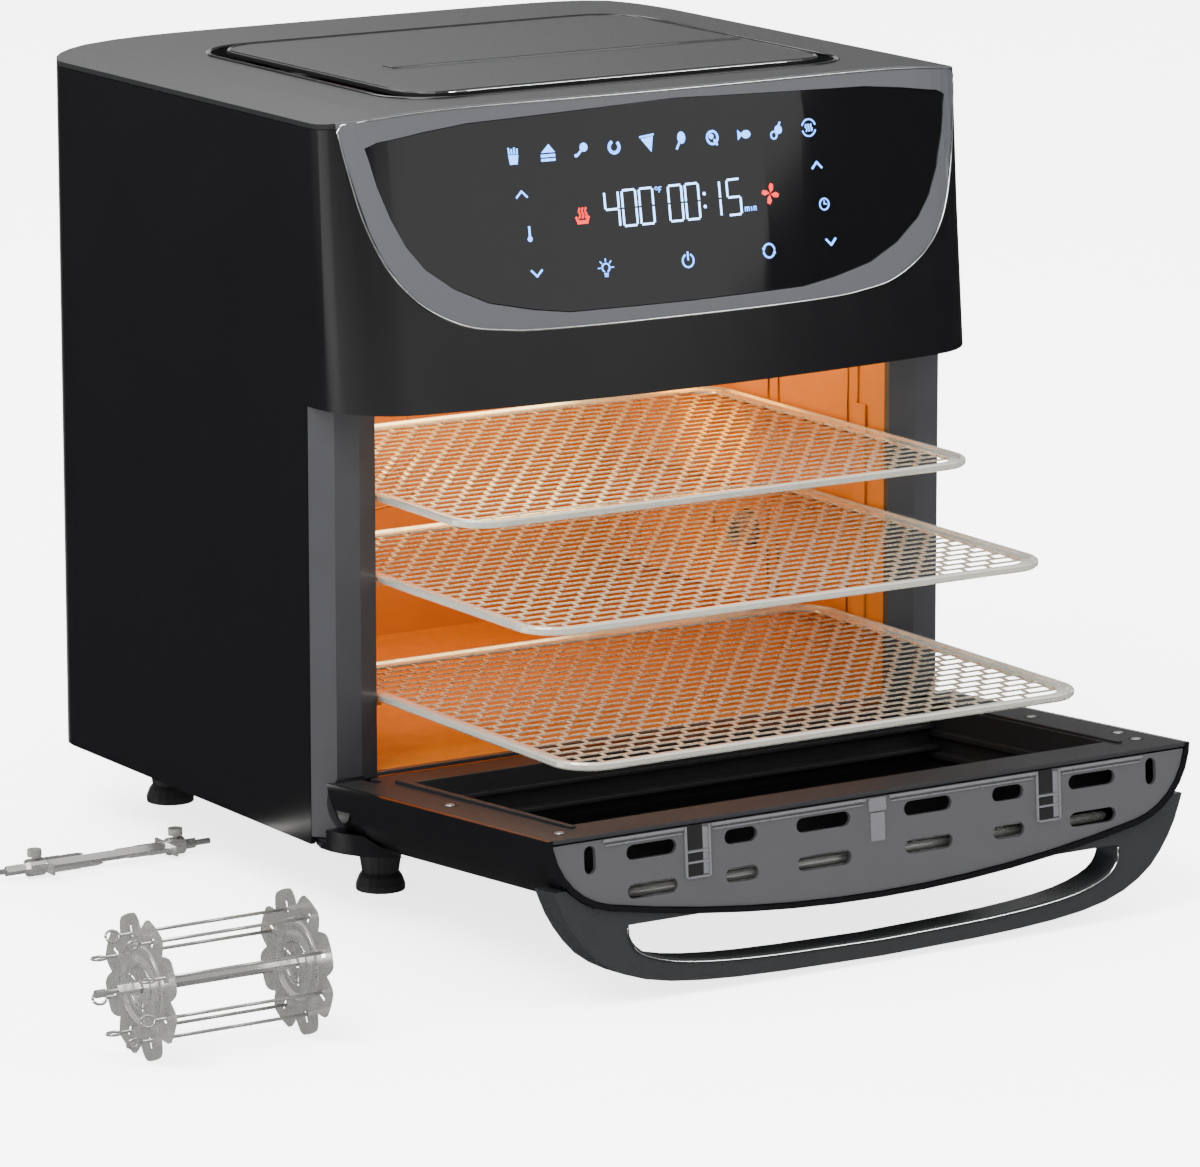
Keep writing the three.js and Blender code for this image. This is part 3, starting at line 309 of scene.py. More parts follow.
def loft(rings, closed_ends=True):
    """Verts and faces of a skin through rings of equal count."""
    count = len(rings[0])
    faces = [(i * count + k, i * count + (k + 1) % count, (i + 1) * count + (k + 1) % count,
              (i + 1) * count + k) for i in range(len(rings) - 1) for k in range(count)]
    if closed_ends:
        faces += [tuple(range(count))[::-1],
                  tuple((len(rings) - 1) * count + k for k in range(count))]
    return [v for ring in rings for v in ring], faces


def turned(x, y, z, profile, count, closed_ends=True):
    """Verts and faces turned round an axis along y, from pairs of height and radius."""
    end = 360 - 360 / count
    return loft([[(x + px, y + h, z + pz) for px, pz in arc(0, 0, r, 0, end, count - 1)]
                 for h, r in profile], closed_ends)


# ---------------------------------------------------------------- racks
RACK_HALF, RACK_DEEP, RACK_CORNER, RACK_RIM = 145, 236, 20, 4
DECK_MARGIN = 8                                    # rack's edge to its open mesh
MESH_PITCH_X, MESH_PITCH_Y = 14.0, 9.0
STRAND, STRAND_THICK = 1.7, 0.3                    # a strand's width, and half its thickness
# The rolled rim's section: distance in from the rack's edge, and height over the deck.
RIM_SECTION = ((0, -1), (0, 1), (0.9, 1.9), (2.4, 1.9), (RACK_RIM, 0.9), (DECK_MARGIN, 0.6),
               (DECK_MARGIN, -0.6), (RACK_RIM, -0.6), (2.4, -1.6), (0.9, -1.9), (0, -1))


def rack(level):
    """A rolled rim round a deck of cross strands joined by slanted ones."""
    z, out = RACKS[level]
    deck = Parts()

    def outline(inset, height):
        corner = max(RACK_CORNER - inset, 6)
        return [(x, y - out, z + height) for x, y in
                rounded(-RACK_HALF + inset, RACK_HALF - inset, inset, RACK_DEEP - inset, corner, 8)]

    verts, faces = loft([outline(*spot) for spot in RIM_SECTION], closed_ends=False)
    piece(f"rack_{level}_rim", verts, faces, "rim", f"rack_{level}")

    edge = DECK_MARGIN - 0.5
    half_deck, y0, y1, cut = RACK_HALF - edge, edge, RACK_DEEP - edge, RACK_CORNER - edge

    def span(y):
        """Half-width of the deck at depth y, following the rounded corners."""
        past = max(y0 + cut - y, y - (y1 - cut), 0)
        return half_deck - cut + math.sqrt(max(cut * cut - past * past, 0))

    rows = round((y1 - y0) / MESH_PITCH_Y)
    for k in range(rows + 1):
        y = y0 + (y1 - y0) * k / rows
        half = span(y)
        deck.block((-half, y - out - STRAND / 2, z - STRAND_THICK),
                   (half, y - out + STRAND / 2, z + STRAND_THICK))
        if k == rows:
            break
        after = y0 + (y1 - y0) * (k + 1) / rows
        shift = MESH_PITCH_X / 2 * (k % 2)
        for i in range(int(2 * half_deck / MESH_PITCH_X) + 2):
            x = -half_deck + shift + i * MESH_PITCH_X
            if abs(x) < min(half, span(after)) - 1:
                deck.add([(x + dx, at - out, z + dz) for dz in (-STRAND_THICK, STRAND_THICK)
                          for dx, at in ((-1.4, y), (0.2, y), (1.4, after), (-0.2, after))], BOX_FACES)
    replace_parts(deck.make(f"rack_{level}_deck", "mesh", f"rack_{level}"), f"rack_{level}")


for level in RACKS:
    rack(level)


# ---------------------------------------------------------------- control panel graphics
RISE = REACH - TANGENT
BOW = (CORNER_X ** 2 + RISE ** 2 - CORNER_R ** 2) / (2 * (RISE - CORNER_R))
BOW_EDGE = BOW * math.sin(math.atan2(CORNER_X, BOW - RISE))


def fascia_y(x, z, proud=0.0):
    """y of the bowed, leaning fascia at x and z, proud millimetres before it."""
    side = abs(x)
    if side <= BOW_EDGE:
        y = BOW - REACH - math.sqrt(BOW ** 2 - side ** 2)
    else:
        y = -TANGENT - math.sqrt(max(CORNER_R ** 2 - (side - CORNER_X) ** 2, 0))
    return y * (1 - LEAN * max(0, z - FASCIA_Z) / (TOP - FASCIA_Z)) - proud


def crown_z(x, top=HEIGHT):
    """Height of the crowned top at x, over its height at the sides."""
    return top + CROWN * (1 - min(1, abs(x) / HALF) ** 7)


class Graphics:
    """Flat marks laid on the fascia, from strokes, discs and filled outlines."""

    PROUD, SUNK = 0.25, -0.3

    def __init__(self):
        self.parts = Parts()

    def fill(self, cx, cz, points):
        flat = [(cx + x, cz + z) for x, z in points]
        count = len(flat)
        front = [(x, fascia_y(x, z, self.PROUD), z) for x, z in flat]
        back = [(x, fascia_y(x, z, self.SUNK), z) for x, z in flat]
        self.parts.add(front + back, [tuple(range(count))] + [tuple(range(2 * count))[:count - 1:-1]]
                       + [(i, i + count, (i + 1) % count + count, (i + 1) % count)
                          for i in range(count)])
        return self

    def line(self, cx, cz, points, width=0.7, closed=False):
        pts = list(points) + ([points[0]] if closed else [])
        for (x0, z0), (x1, z1) in zip(pts, pts[1:]):
            dx, dz = x1 - x0, z1 - z0
            long = math.hypot(dx, dz) or 1
            nx, nz = -dz / long * width / 2, dx / long * width / 2
            ex, ez = dx / long * width * 0.3, dz / long * width * 0.3
            self.fill(cx, cz, [(x0 + nx - ex, z0 + nz - ez), (x0 - nx - ex, z0 - nz - ez),
                               (x1 - nx + ex, z1 - nz + ez), (x1 + nx + ex, z1 + nz + ez)])
        return self

    def ring(self, cx, cz, radius, start=0, end=360, width=0.7, x=0, z=0):
        return self.line(cx, cz, arc(x, z, radius, start, end, 14), width)

    def disc(self, cx, cz, radius, x=0, z=0, squash=1.0):
        return self.fill(cx, cz, [(px, z + (pz - z) * squash) for px, pz in
                                  arc(x, z, radius, 0, 330, 11)])


blue, red, figures = Graphics(), Graphics(), Graphics()
TOP_ROW = 362
for step, x in enumerate((-89, -70.5, -52.5, -34.5, -16, 2.3, 20.6, 39, 58, 77)):
    if step == 0:      # fries in a cup
        blue.fill(x, TOP_ROW, [(-2.6, 0.4), (2.6, 0.4), (2, -4), (-2, -4)])
        for k in range(4):
            blue.line(x, TOP_ROW, [(-2.1 + 1.4 * k, 1), (-2.3 + 1.5 * k, 3.6 - 0.6 * (k % 2))], 0.8)
    elif step == 1:    # cake slice
        blue.fill(x, TOP_ROW, [(-3.6, 0.2), (3.8, 0.2), (0.6, 4)])
        blue.fill(x, TOP_ROW, [(-3.8, -0.6), (3.8, -0.6), (3.8, -1.9), (-3.8, -1.9)])
        blue.fill(x, TOP_ROW, [(-3.8, -2.6), (3.8, -2.6), (3.8, -3.8), (-3.8, -3.8)])
    elif step == 2:    # drumstick
        blue.disc(x, TOP_ROW, 2.1, 1.4, 1.2)
        blue.line(x, TOP_ROW, [(0, -0.2), (-2.6, -2.6)], 1.0).disc(x, TOP_ROW, 0.8, -3.1, -2.4)
    elif step == 3:    # prawn
        blue.ring(x, TOP_ROW, 2.7, 120, 400, 1.5)
    elif step == 4:    # pizza slice
        blue.fill(x, TOP_ROW, [(-3.6, 2.6), (3.2, 3.4), (1.8, -3.8)])
        blue.line(x, TOP_ROW, [(-4, 3.4), (3.6, 4.2)], 0.8)
    elif step == 5:    # chicken leg
        blue.disc(x, TOP_ROW, 2.2, 0.8, 1.4, 1.3).line(x, TOP_ROW, [(-0.4, -0.6), (-2.2, -3.6)], 1)
    elif step == 6:    # steak
        blue.ring(x, TOP_ROW, 3, 0, 360, 1.1).disc(x, TOP_ROW, 1.3, -0.6, 0.6)
        blue.line(x, TOP_ROW, [(1, -1.2), (2.4, -3.4)], 1.1)
    elif step == 7:    # fish
        blue.disc(x, TOP_ROW, 2.6, 1, 0, 0.75)
        blue.fill(x, TOP_ROW, [(-1, 0), (-3.8, 2.4), (-3.8, -2.4)])
    elif step == 8:    # vegetables
        blue.disc(x, TOP_ROW, 2.1, 1, 0.6).ring(x, TOP_ROW, 1.7, 0, 360, 0.8, -1.8, -1.8)
        blue.line(x, TOP_ROW, [(1.2, 2.6), (2.2, 4)], 0.8)
    else:              # keep warm
        blue.ring(x, TOP_ROW, 4.0, 20, 160, 0.7).ring(x, TOP_ROW, 4.0, 200, 340, 0.7)
        for k in (-1.5, 0, 1.5):
            blue.line(x, TOP_ROW, [(k, -1.6), (k + 0.5, -0.5), (k - 0.5, 0.5), (k, 1.6)], 0.6)
for x, z, way in ((-86.3, 344, 1), (80, 344, 1), (-81.7, 307, -1), (84.8, 307, -1)):
    blue.line(x, z, [(-2.8, -1.4 * way), (0, 1.4 * way), (2.8, -1.4 * way)], 0.9)
thermometer, clock, bulb = (-83.8, 325.3), (82.6, 325.2), (-44.7, 306)
power, cycle, flame, fan = (0.9, 306), (47.6, 306.4), (-55, 331.2), (51.1, 333)
degree = (-11.9, 340.2)
blue.line(*thermometer, [(0, -1), (0, 3.4)], 1.1).disc(*thermometer, 1.3, 0, -2.2)
blue.ring(*clock, 2.7, 0, 360, 0.6).line(*clock, [(0, 1.5), (0, 0), (1.2, 0)], 0.5)
blue.ring(*bulb, 2.0, -60, 240, 0.7, 0, 0.6)
blue.line(*bulb, [(-0.9, -2.2), (0.9, -2.2)], 0.7).line(*bulb, [(-0.7, -3.3), (0.7, -3.3)])
for angle in range(0, 181, 45):
    c, s = math.cos(math.radians(angle)), math.sin(math.radians(angle))
    blue.line(bulb[0], bulb[1] + 0.6, [(3 * c, 3 * s), (4.2 * c, 4.2 * s)], 0.5)
blue.ring(*power, 3.1, 120, 420, 0.8).line(*power, [(0, 0.4), (0, 4)], 0.8)
blue.ring(*cycle, 3.2, 10, 160, 0.9).ring(*cycle, 3.2, 190, 340, 0.9)
blue.fill(*cycle, [(-3.9, 1.6), (-2, 1.6), (-3.2, -0.2)])
blue.fill(*cycle, [(3.9, -1.6), (2, -1.6), (3.2, 0.2)])

SEGMENTS = {"0": "abcdef", "1": "bc", "4": "bcfg", "5": "acdfg"}
DIGIT_Z, DIGIT_WIDE, DIGIT_HIGH, DIGIT_STROKE = 333.3, 7.4, 16.6, 0.95


def digit(mark, x):
    """A seven-segment digit centred at x."""
    h, w, gap = DIGIT_HIGH / 2, DIGIT_WIDE / 2, 0.7
    lines = {"a": [(-w + gap, h), (w - gap, h)], "g": [(-w + gap, 0), (w - gap, 0)],
             "d": [(-w + gap, -h), (w - gap, -h)], "b": [(w, h - gap), (w, gap)],
             "c": [(w, -gap), (w, -h + gap)], "f": [(-w, h - gap), (-w, gap)],
             "e": [(-w, -gap), (-w, -h + gap)]}
    for key in SEGMENTS[mark]:
        figures.line(x, DIGIT_Z, lines[key], DIGIT_STROKE)


for mark, x in zip("4000015", (-38.5, -28.9, -19.4, -3.2, 6.3, 18.4, 30.1)):
    digit(mark, x)
figures.disc(13.2, DIGIT_Z, 0.8, 0, 3).disc(13.2, DIGIT_Z, 0.8, 0, -3)
blue.ring(-13.4, 341, 0.7, 0, 360, 0.3)
blue.line(*degree, [(0, -1.1), (0, 1.3), (1.3, 1.3)], 0.4).line(*degree, [(0, 0.1), (1, 0.1)], 0.4)
for x in (36, 37.1, 38.2, 39.6, 41, 42.2):
    blue.line(x, 327, [(0, -0.9), (0, 0.9)], 0.42)
blue.line(36, 327, [(0, 0.9), (2.2, 0.9)], 0.4).line(41, 327, [(0, 0.9), (1.2, 0.9)], 0.4)
for k in (-1.7, 0, 1.7):
    red.line(*flame, [(k, -0.6), (k + 0.8, 1), (k - 0.2, 2.4), (k + 0.5, 4)], 0.9)
red.fill(*flame, [(-4, 0), (-3, 0.4), (-2, -1.6), (2, -1.6), (3, 0.4), (4, 0), (2.8, -3.4),
                  (-2.8, -3.4)])
for quarter in range(4):
    turn = math.radians(90 * quarter + 20)
    blade = [(0.3, 0.3), (0.6, 3.4), (2.2, 4.6), (3.4, 3.4), (2.4, 1.2)]
    red.fill(*fan, [(x * math.cos(turn) - z * math.sin(turn),
                     x * math.sin(turn) + z * math.cos(turn)) for x, z in blade])
blue.parts.make("panel_icons", "icon", "oven")
red.parts.make("panel_red_icons", "red", "oven")
figures.parts.make("panel_figures", "digit", "oven")

# A bright line round the bezel: a painted highlight on its rounded edge.
EDGE = [(0, PANEL_LOW), (50, PANEL_LOW), (86, PANEL_LOW + 0.5), (100, PANEL_LOW + 1.6),
        (117, PANEL_LOW + 4), (131, PANEL_LOW + 9.4), (143, PANEL_LOW + 17), (153, PANEL_LOW + 27.6),
        (160, PANEL_LOW + 40), (166, PANEL_LOW + 57.5), (170, PANEL_LOW + 77), (173.4, PANEL_LOW + 97)]
half = [(x + 0.4, fascia_y(x, z, 0.3), z - 0.3) for x, z in curve(EDGE, 4)]
path = [(-x, y, z) for x, y, z in half[::-1]] + half[1:]
path += [(x, fascia_y(x, crown_z(x) - 0.9, 0.2), crown_z(x) - 0.9) for x in range(172, -173, -8)]
Parts().tube(path, 0.5, 6, closed=True).make("bezel_edge_highlight", "edge_highlight", "oven", smooth=True)

# ---------------------------------------------------------------- door details
DOOR = (Matrix.Translation(HINGE) @ Matrix.Rotation(math.radians(DOOR_OPEN), 4, "X")
        @ Matrix.Translation(-HINGE))


def door_piece(parts, name, look, **more):
    """A piece drawn on the closed door, laid down with the open one."""
    return parts.make(name, look, "door", place=DOOR, **more)


# A bright line along the handle's inner edge: a painted highlight on its rounded edge.
bar = -DOOR_FACE - WELL_DEPTH - DOOR_FRONT - HANDLE_DROP
inside = curve([(137, bar + 34, 0), (136, bar + 27, 0), (128, bar + 20, 0), (106, bar + 14, 0),
                (65, bar + 10.5, 0), (0, bar + 9, 0)], 8)
path = [(p.x + 0.6, p.y - 1.4, DOOR_TOP - 2) for p in inside]
path += [(-x, y, z) for x, y, z in path[-2::-1]]
door_piece(Parts().tube(path, 0.65, 6), "handle_edge_highlight", "edge_highlight", smooth=True)
strip_z = DOOR_TOP - 1
# Lips, notches and catch take the paler nylon: painted highlight on the raised parts.
lips = Parts()
for x0, x1 in ((-150, -106.5), (-92, -6.5), (6.5, 90), (104, 152)):
    lips.block((x0, -DOOR_FACE - 4.6, strip_z), (x1, -DOOR_FACE - 2.8, strip_z + 1.0), 0.3)
    lips.block((x0 + 1, -DOOR_FACE - 6.4, strip_z), (x1 - 1, -DOOR_FACE - 5.4, strip_z + 0.6), 0.2)
door_piece(lips, "strip_lips", "lip", bevel=0.2)
notches = Parts()
for x in (-99.3, 97):
    for s in (-1, 1):
        notches.block((x + s * 6.4 - 0.7, -DOOR_FACE - 27, strip_z),
                      (x + s * 6.4 + 0.7, -DOOR_FACE - 3, strip_z + 0.9), 0.2)
    for back in (15, 20, 27):
        notches.block((x - 6, -DOOR_FACE - back - 0.6, strip_z),
                      (x + 6, -DOOR_FACE - back + 0.6, strip_z + 0.8), 0.2)
    notches.block((x + 2.8, -DOOR_FACE - 26, strip_z), (x + 6.2, -DOOR_FACE - 4, strip_z + 0.3), 0.1)
# Black sheets laid flat where the strip's recesses sit in shade: painted shade.
recess_shade = Parts()
for x in (-99.3, 97):
    recess_shade.block((x - 5.6, -DOOR_FACE - 19.4, strip_z), (x + 2.6, -DOOR_FACE - 15.6, strip_z + 0.15))
    recess_shade.block((x - 5.6, -DOOR_FACE - 26.2, strip_z), (x + 2.6, -DOOR_FACE - 20.8, strip_z + 0.15))
    recess_shade.block((x - 5.6, -DOOR_FACE - 14, strip_z), (x + 2.6, -DOOR_FACE - 3, strip_z + 0.15))
door_piece(recess_shade, "strip_recess_shade", "black")
door_piece(notches, "strip_notches", "lip", bevel=0.15)
catch = Parts()
catch.block((-5, -DOOR_FACE - 10, strip_z), (5, -DOOR_FACE - 3, strip_z + 1.0), 0.5)
catch.block((-4.2, -DOOR_FACE - 24, strip_z), (4.2, -DOOR_FACE - 10, strip_z + 0.8), 0.6)
door_piece(catch, "strip_catch", "lip", bevel=0.3)

# The bright rod across the door behind the lower row of slots.
rod_y = -DOOR_FACE - 31
door_piece(Parts().rod(-136, rod_y, strip_z - 9, ((2, 1.6, 12), (268, 2.6, 12), (2, 1.6, 12))),
           "door_rod", "steel", smooth=True)

# Rails beside the well, the frame round the inner glass, and steps on the well's walls.
well_z0, well_z1 = DOOR_LOW + WELL_LOW, DOOR_TOP - WELL_HIGH
well_floor = -DOOR_FACE - WELL_DEPTH
rails = Parts()
for s in (-1, 1):
    rails.block((s * 153.5 - 2, -DOOR_FACE - 0.5, well_z0 - 4), (s * 153.5 + 2, -DOOR_FACE + 1.6,
                well_z1 + 8), 0.5)
    rails.block((s * 149 - 1.5, well_floor + 14, well_z0), (s * 149 + 1.5, well_floor + 17, well_z1))
    rails.block((s * 147.5 - 3, well_floor + 4, well_z0), (s * 147.5 + 3, well_floor + 7, well_z1))
rails.block((-148, well_floor + 8, well_z0), (148, well_floor + 10, well_z0 + 9))
rails.block((-148, well_floor + 18, well_z0), (148, well_floor + 20, well_z0 + 4))
rails.block((-148, well_floor + 8, well_z1 - 9), (148, well_floor + 10, well_z1))
for x in (-118, -40, 42, 120):
    rails.block((x - 7, well_floor + 8, well_z1 - 14), (x + 7, well_floor + 15, well_z1 - 5), 1)
door_piece(rails, "well_rails", "inner", bevel=0.4)

screws, recesses = Parts(), Parts()
for x, up in ((-165.4, 88.9), (-164.3, 182.6), (169.6, 153.9), (165.7, 173.4), (165.4, 88.9)):
    z = DOOR_LOW + up
    head = ((0.05, 2.6), (0.45, 2.2), (0.45, 0.9), (-0.2, 0.7))
    seat = ((0.04, 4.2), (0.2, 4.0), (0.2, 3.3), (0.04, 3.1))
    screws.add(*turned(x, -DOOR_FACE, z, head, 10))
    recesses.add(*turned(x, -DOOR_FACE, z, seat, 20, closed_ends=False))
door_piece(screws, "door_screws", "galvanised")
door_piece(recesses, "door_screw_seats", "inner")

# ---------------------------------------------------------------- top vent
lid_half, lid_front, lid_rear, lid_r = 119, 2, 196, 20
ridge = Parts()
for y in (84, 90):
    ridge.tube([(x, y - 3 * math.cos(x / 76), crown_z(x, HEIGHT + 1.45)) for x in range(-84, 118, 6)],
               0.8, 8, squash=0.7)
ridge.make("lid_ridge", "bezel", "oven", smooth=True)
# A bright line along the lid's front edge: a painted highlight.
front_edge = [(x, lid_front + 0.4, crown_z(x, HEIGHT + 0.9)) for x in range(-100, 101, 10)]
Parts().tube(front_edge, 0.5, 8).make("lid_front_edge_highlight", "edge_highlight", "oven", smooth=True)
for name, grow, lift, width in (("vent_rim", 9, -0.1, 1.5), ("lid_edge", -1.6, 1.35, 0.9)):
    loop = rounded(-lid_half - grow, lid_half + grow, lid_front - grow, lid_rear + grow, lid_r + grow, 8)
    dense = []
    for (ax, ay), (bx, by) in zip(loop, loop[1:] + loop[:1]):
        steps = max(1, round(math.hypot(bx - ax, by - ay) / 12))
        dense += [(ax + (bx - ax) * k / steps, ay + (by - ay) * k / steps) for k in range(steps)]
    Parts().tube([(x, y, crown_z(x, HEIGHT + lift)) for x, y in dense], width, 8, closed=True,
                 squash=0.6).make(name, "gloss", "oven", smooth=True)

# ---------------------------------------------------------------- cavity details
stamp = Parts()
for y0, y1, z0, z1 in ((20, 100, 178, 262), (112, 232, 178, 262), (20, 100, 84, 150),
                       (150, 232, 84, 150)):
    for grow, width in ((0, 1.2), (-9, 1.0)):
        for s in (-1, 1):
            loop = [(s * WALL_X, y, z) for y, z in
                    rounded(y0 - grow, y1 + grow, z0 - grow, z1 + grow, 6, 4)]
            if s < 0 or z1 < 200 or y1 < 119:
                stamp.tube(loop, width, 6, closed=True)
stamp.make("wall_stampings", "liner", "oven", smooth=True)
back = Parts()
for r in (24, 40, 56):
    back.tube([(r * math.cos(a), REAR_WALL_Y, 190 + r * math.sin(a)) for a in
               (math.radians(6 * k) for k in range(60))], 0.6, 6, closed=True)
back.make("rear_wall_rings", "liner", "oven", smooth=True)

# ---------------------------------------------------------------- rear cover details
rear_screws, ribs = Parts(), Parts()
for x in (-146, 0, 146):
    for z in (52, 358):
        head = ((0.05, 3.2), (1.0, 2.9), (1.4, 2.0), (1.4, 1.1), (0.7, 0.9))
        rear_screws.add(*turned(x, DEPTH, z, head, 20))
for x in (-96, 96):
    ribs.block((x - 1.2, DEPTH - 0.2, 70), (x + 1.2, DEPTH + 1.0, 250), 0.4)
for z in (70, 250):
    ribs.block((-96, DEPTH - 0.2, z - 1.2), (96, DEPTH + 1.0, z + 1.2), 0.4)
rear_screws.make("rear_screws", "galvanised", "oven")
ribs.make("rear_ribs", "black", "oven", bevel=0.2)

# ---------------------------------------------------------------- spit, forks and skewer wheel
SPIT_X, SPIT_Y, SPIT_Z = -276, 135, 5.2
spit = Parts().rod(SPIT_X, SPIT_Y, SPIT_Z, ((3, 1.4, 10), (105, 2.6, 4), (8, 1.5, 10)))
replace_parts(spit.make("spit", "wire", "spit_set"), "spit_rod")
for side, at, way, spread in (("left", 24, 1, 10.6), ("right", 92, -1, 7)):
    fork = Parts()
    x = SPIT_X + at
    fork.block((x - 0.6, SPIT_Y - 11, SPIT_Z - 2.5), (x + 0.6, SPIT_Y + 11, SPIT_Z + 2.5))
    fork.tube([(x - way * 0.5, SPIT_Y, SPIT_Z), (x - way * 9, SPIT_Y, SPIT_Z)], 4.4, 14)
    for s in (-1, 1):
        y = SPIT_Y + s * spread
        fork.rod(x, y, SPIT_Z, ((way * 14, 1.2, 8), (way * 10, 1.0, 8)))
        fork.add(*loft([[(x + way * d, y + r * math.cos(a), SPIT_Z + r * math.sin(a)) for a in
                         (math.pi * k / 4 for k in range(8))] for d, r in ((24, 1.0), (27.9, 0.1))]))
    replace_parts(fork.make(f"fork_{side}", "steel", "spit_set"), f"spit_fork_{side}")

WHEEL_X, WHEEL_Y, WHEEL_Z, WHEEL_R, WHEEL_LONG = -367, -173.7, 33.3, 33, 79
PETALS, SPOKES = 8, 96
# How far a petal reaches near its edges: share of a petal from the edge, and radius.
NOTCH = ((0.05, 26.6), (0.1, 29.4), (0.17, 31.8))
SLOT, WINDOW = (22.4, 27.4), (5, 10.5)             # radii between which the disc is cut through
SKEWER_RING = 24


def petal_disc(name, x, node):
    """A stamped disc: eight petals, two embossed rings, a slot in each petal."""
    radii = (2.9, 5.5, 8, 11, 14.5, 17.5, 20, 22.5, 25, 27.5, 30, WHEEL_R - 1, WHEEL_R)
    emboss = {8: 0.0, 11: 0.45, 14.5: 0.0, 17.5: 0.5, 20: 0.0}
    verts, faces = [], []
    for r in radii:
        for k in range(SPOKES):
            angle = 2 * math.pi * (k + 0.5) / SPOKES
            local = (k % (SPOKES // PETALS)) / (SPOKES // PETALS)
            open_by = min(local, 1 - local)
            reach = min(r, next((far for share, far in NOTCH if open_by < share), WHEEL_R))
            verts.append((x - emboss.get(r, 0), WHEEL_Y + reach * math.cos(angle),
                          WHEEL_Z + reach * math.sin(angle)))
    for i in range(len(radii) - 1):
        for k in range(SPOKES):
            petal = k % (SPOKES // PETALS)
            slot = petal == SPOKES // PETALS // 2 and SLOT[0] < radii[i] < SLOT[1]
            window = WINDOW[0] < radii[i] < WINDOW[1] and k % 32 in (4, 5)
            if not slot and not window:
                j = (k + 1) % SPOKES
                faces.append((i * SPOKES + k, i * SPOKES + j, (i + 1) * SPOKES + j,
                              (i + 1) * SPOKES + k))
    for r in (9.5, 18.2):
        Parts().tube([(x - 0.4, WHEEL_Y + r * math.cos(a), WHEEL_Z + r * math.sin(a)) for a in
                      (math.radians(9 * k) for k in range(40))], 0.55, 6, closed=True).make(
                          f"{name}_ring_{round(r)}", "wire", "skewer_wheel", smooth=True)
    disc = piece(name, verts, faces, "steel", "skewer_wheel", solidify=0.5)
    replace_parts(disc, node)


petal_disc("petal_disc_left", WHEEL_X, "wheel_disc_left")
petal_disc("petal_disc_right", WHEEL_X + WHEEL_LONG, "wheel_disc_right")
axle = Parts().rod(WHEEL_X - 23, WHEEL_Y, WHEEL_Z,
                   ((5, 1.9, 10), (6, 1.2, 10), (WHEEL_LONG + 16, 2.4, 4)))
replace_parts(axle.make("wheel_axle", "wire", "skewer_wheel"), "wheel_rod")
for i in range(PETALS):
    angle = 2 * math.pi * (i + 0.5) / PETALS
    y, z = WHEEL_Y + SKEWER_RING * math.cos(angle), WHEEL_Z + SKEWER_RING * math.sin(angle)
    shank = Parts()
    shank.tube([(WHEEL_X - 5.5, y, z), (WHEEL_X + WHEEL_LONG + 4.6, y, z)], 0.85, 8)
    flat = Matrix.Rotation(math.radians(60 * i), 3, "X")
    loop = [Vector((WHEEL_X - 5.6, 0, 0)) + flat @ Vector((-3.4 + 3.4 * math.cos(a), 2.7 * math.sin(a), 0))
            for a in (math.radians(-165 + 22 * k) for k in range(17))]
    shank.tube([Vector((p.x, p.y + y, p.z + z)) for p in loop], 0.7, 6)
    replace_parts(shank.make(f"skewer_wire_{i + 1}", "wire", "skewer_wheel", smooth=True),
                f"skewer_{i + 1}")

# ---------------------------------------------------------------- softened CAD edges
SOFT = {"body_shell": 0.6, "top_cover": 0.5, "top_vent_lid": 1.0, "control_bezel": 0.3,
        "front_frame": 0.5, "door_outer_shell": 0.8, "door_inner_frame": 0.5, "door_handle": 1.6,
        "door_end_strip": 0.3, "base_front_trim": 0.5, "rear_cover": 0.3,
        "control_glass": 0.1}
BEVEL_ANGLE, CRISP_ANGLE = 34, 20
for name, width in SOFT.items():
    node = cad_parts[name]
    node.data.polygons.foreach_set("use_smooth", [True] * len(node.data.polygons))
    node.modifiers.new("weld", "WELD").merge_threshold = 1e-6
    edge = node.modifiers.new("edges", "BEVEL")
    edge.width, edge.segments = width * MM, 2
    edge.limit_method, edge.angle_limit = "ANGLE", math.radians(BEVEL_ANGLE)
    split = node.modifiers.new("crisp", "EDGE_SPLIT")
    split.split_angle = math.radians(CRISP_ANGLE)
    node.modifiers.new("flat faces", "WEIGHTED_NORMAL").keep_sharp = True

# ---------------------------------------------------------------- floor, lights, camera
def floor():
    """White floor, lit from within so that it fades into the backdrop."""
    mesh = bpy.data.meshes.new("floor")
    mesh.from_pydata([(-30, -30, 0), (30, -30, 0), (30, 30, 0), (-30, 30, 0)], [], [(0, 1, 2, 3)])
    made = bpy.data.objects.new("floor", mesh)
    bpy.context.scene.collection.objects.link(made)
    mesh.materials.append(surface("white_studio_floor", "#fbfbfb", 0.6, size=50, vary=0.05,
                                  Specular_IOR_Level=0.1, Emission_Color=linear("#ffffff"),
                                  Emission_Strength=3.0))
    made.visible_glossy = False


def softbox(name, at, to, size, power, colour=(1, 1, 1)):
    """A rectangular light at one point, aimed at another."""
    light = bpy.data.lights.new(name, "AREA")
    light.shape, light.size, light.size_y = "RECTANGLE", size[0], size[1]
    light.energy, light.color = power, colour
    made = bpy.data.objects.new(name, light)
    made.location = at
    made.rotation_euler = (Vector(to) - Vector(at)).to_track_quat("-Z", "Y").to_euler()
    bpy.context.scene.collection.objects.link(made)
    return made


floor()
softbox("key", (-1.6, -0.9, 2.6), (0.1, 0, 0.1), (1.6, 1.6), 150)
softbox("front_fill", (1.9, -2.0, 2.2), (0.1, 0, 0.2), (0.9, 0.9), 30)
softbox("top_back", (0.2, 1.7, 1.9), (0.1, 0, 0.38), (1.8, 0.7), 25)
glow = (1.0, 0.74, 0.36)
softbox("cavity_glow", row((0, 120, 290)), row((0, 110, 60)), (0.22, 0.2), 1.1, glow)
softbox("cavity_side", row((-120, 120, 230)), row((147, 110, 200)), (0.1, 0.16), 0.7, glow)

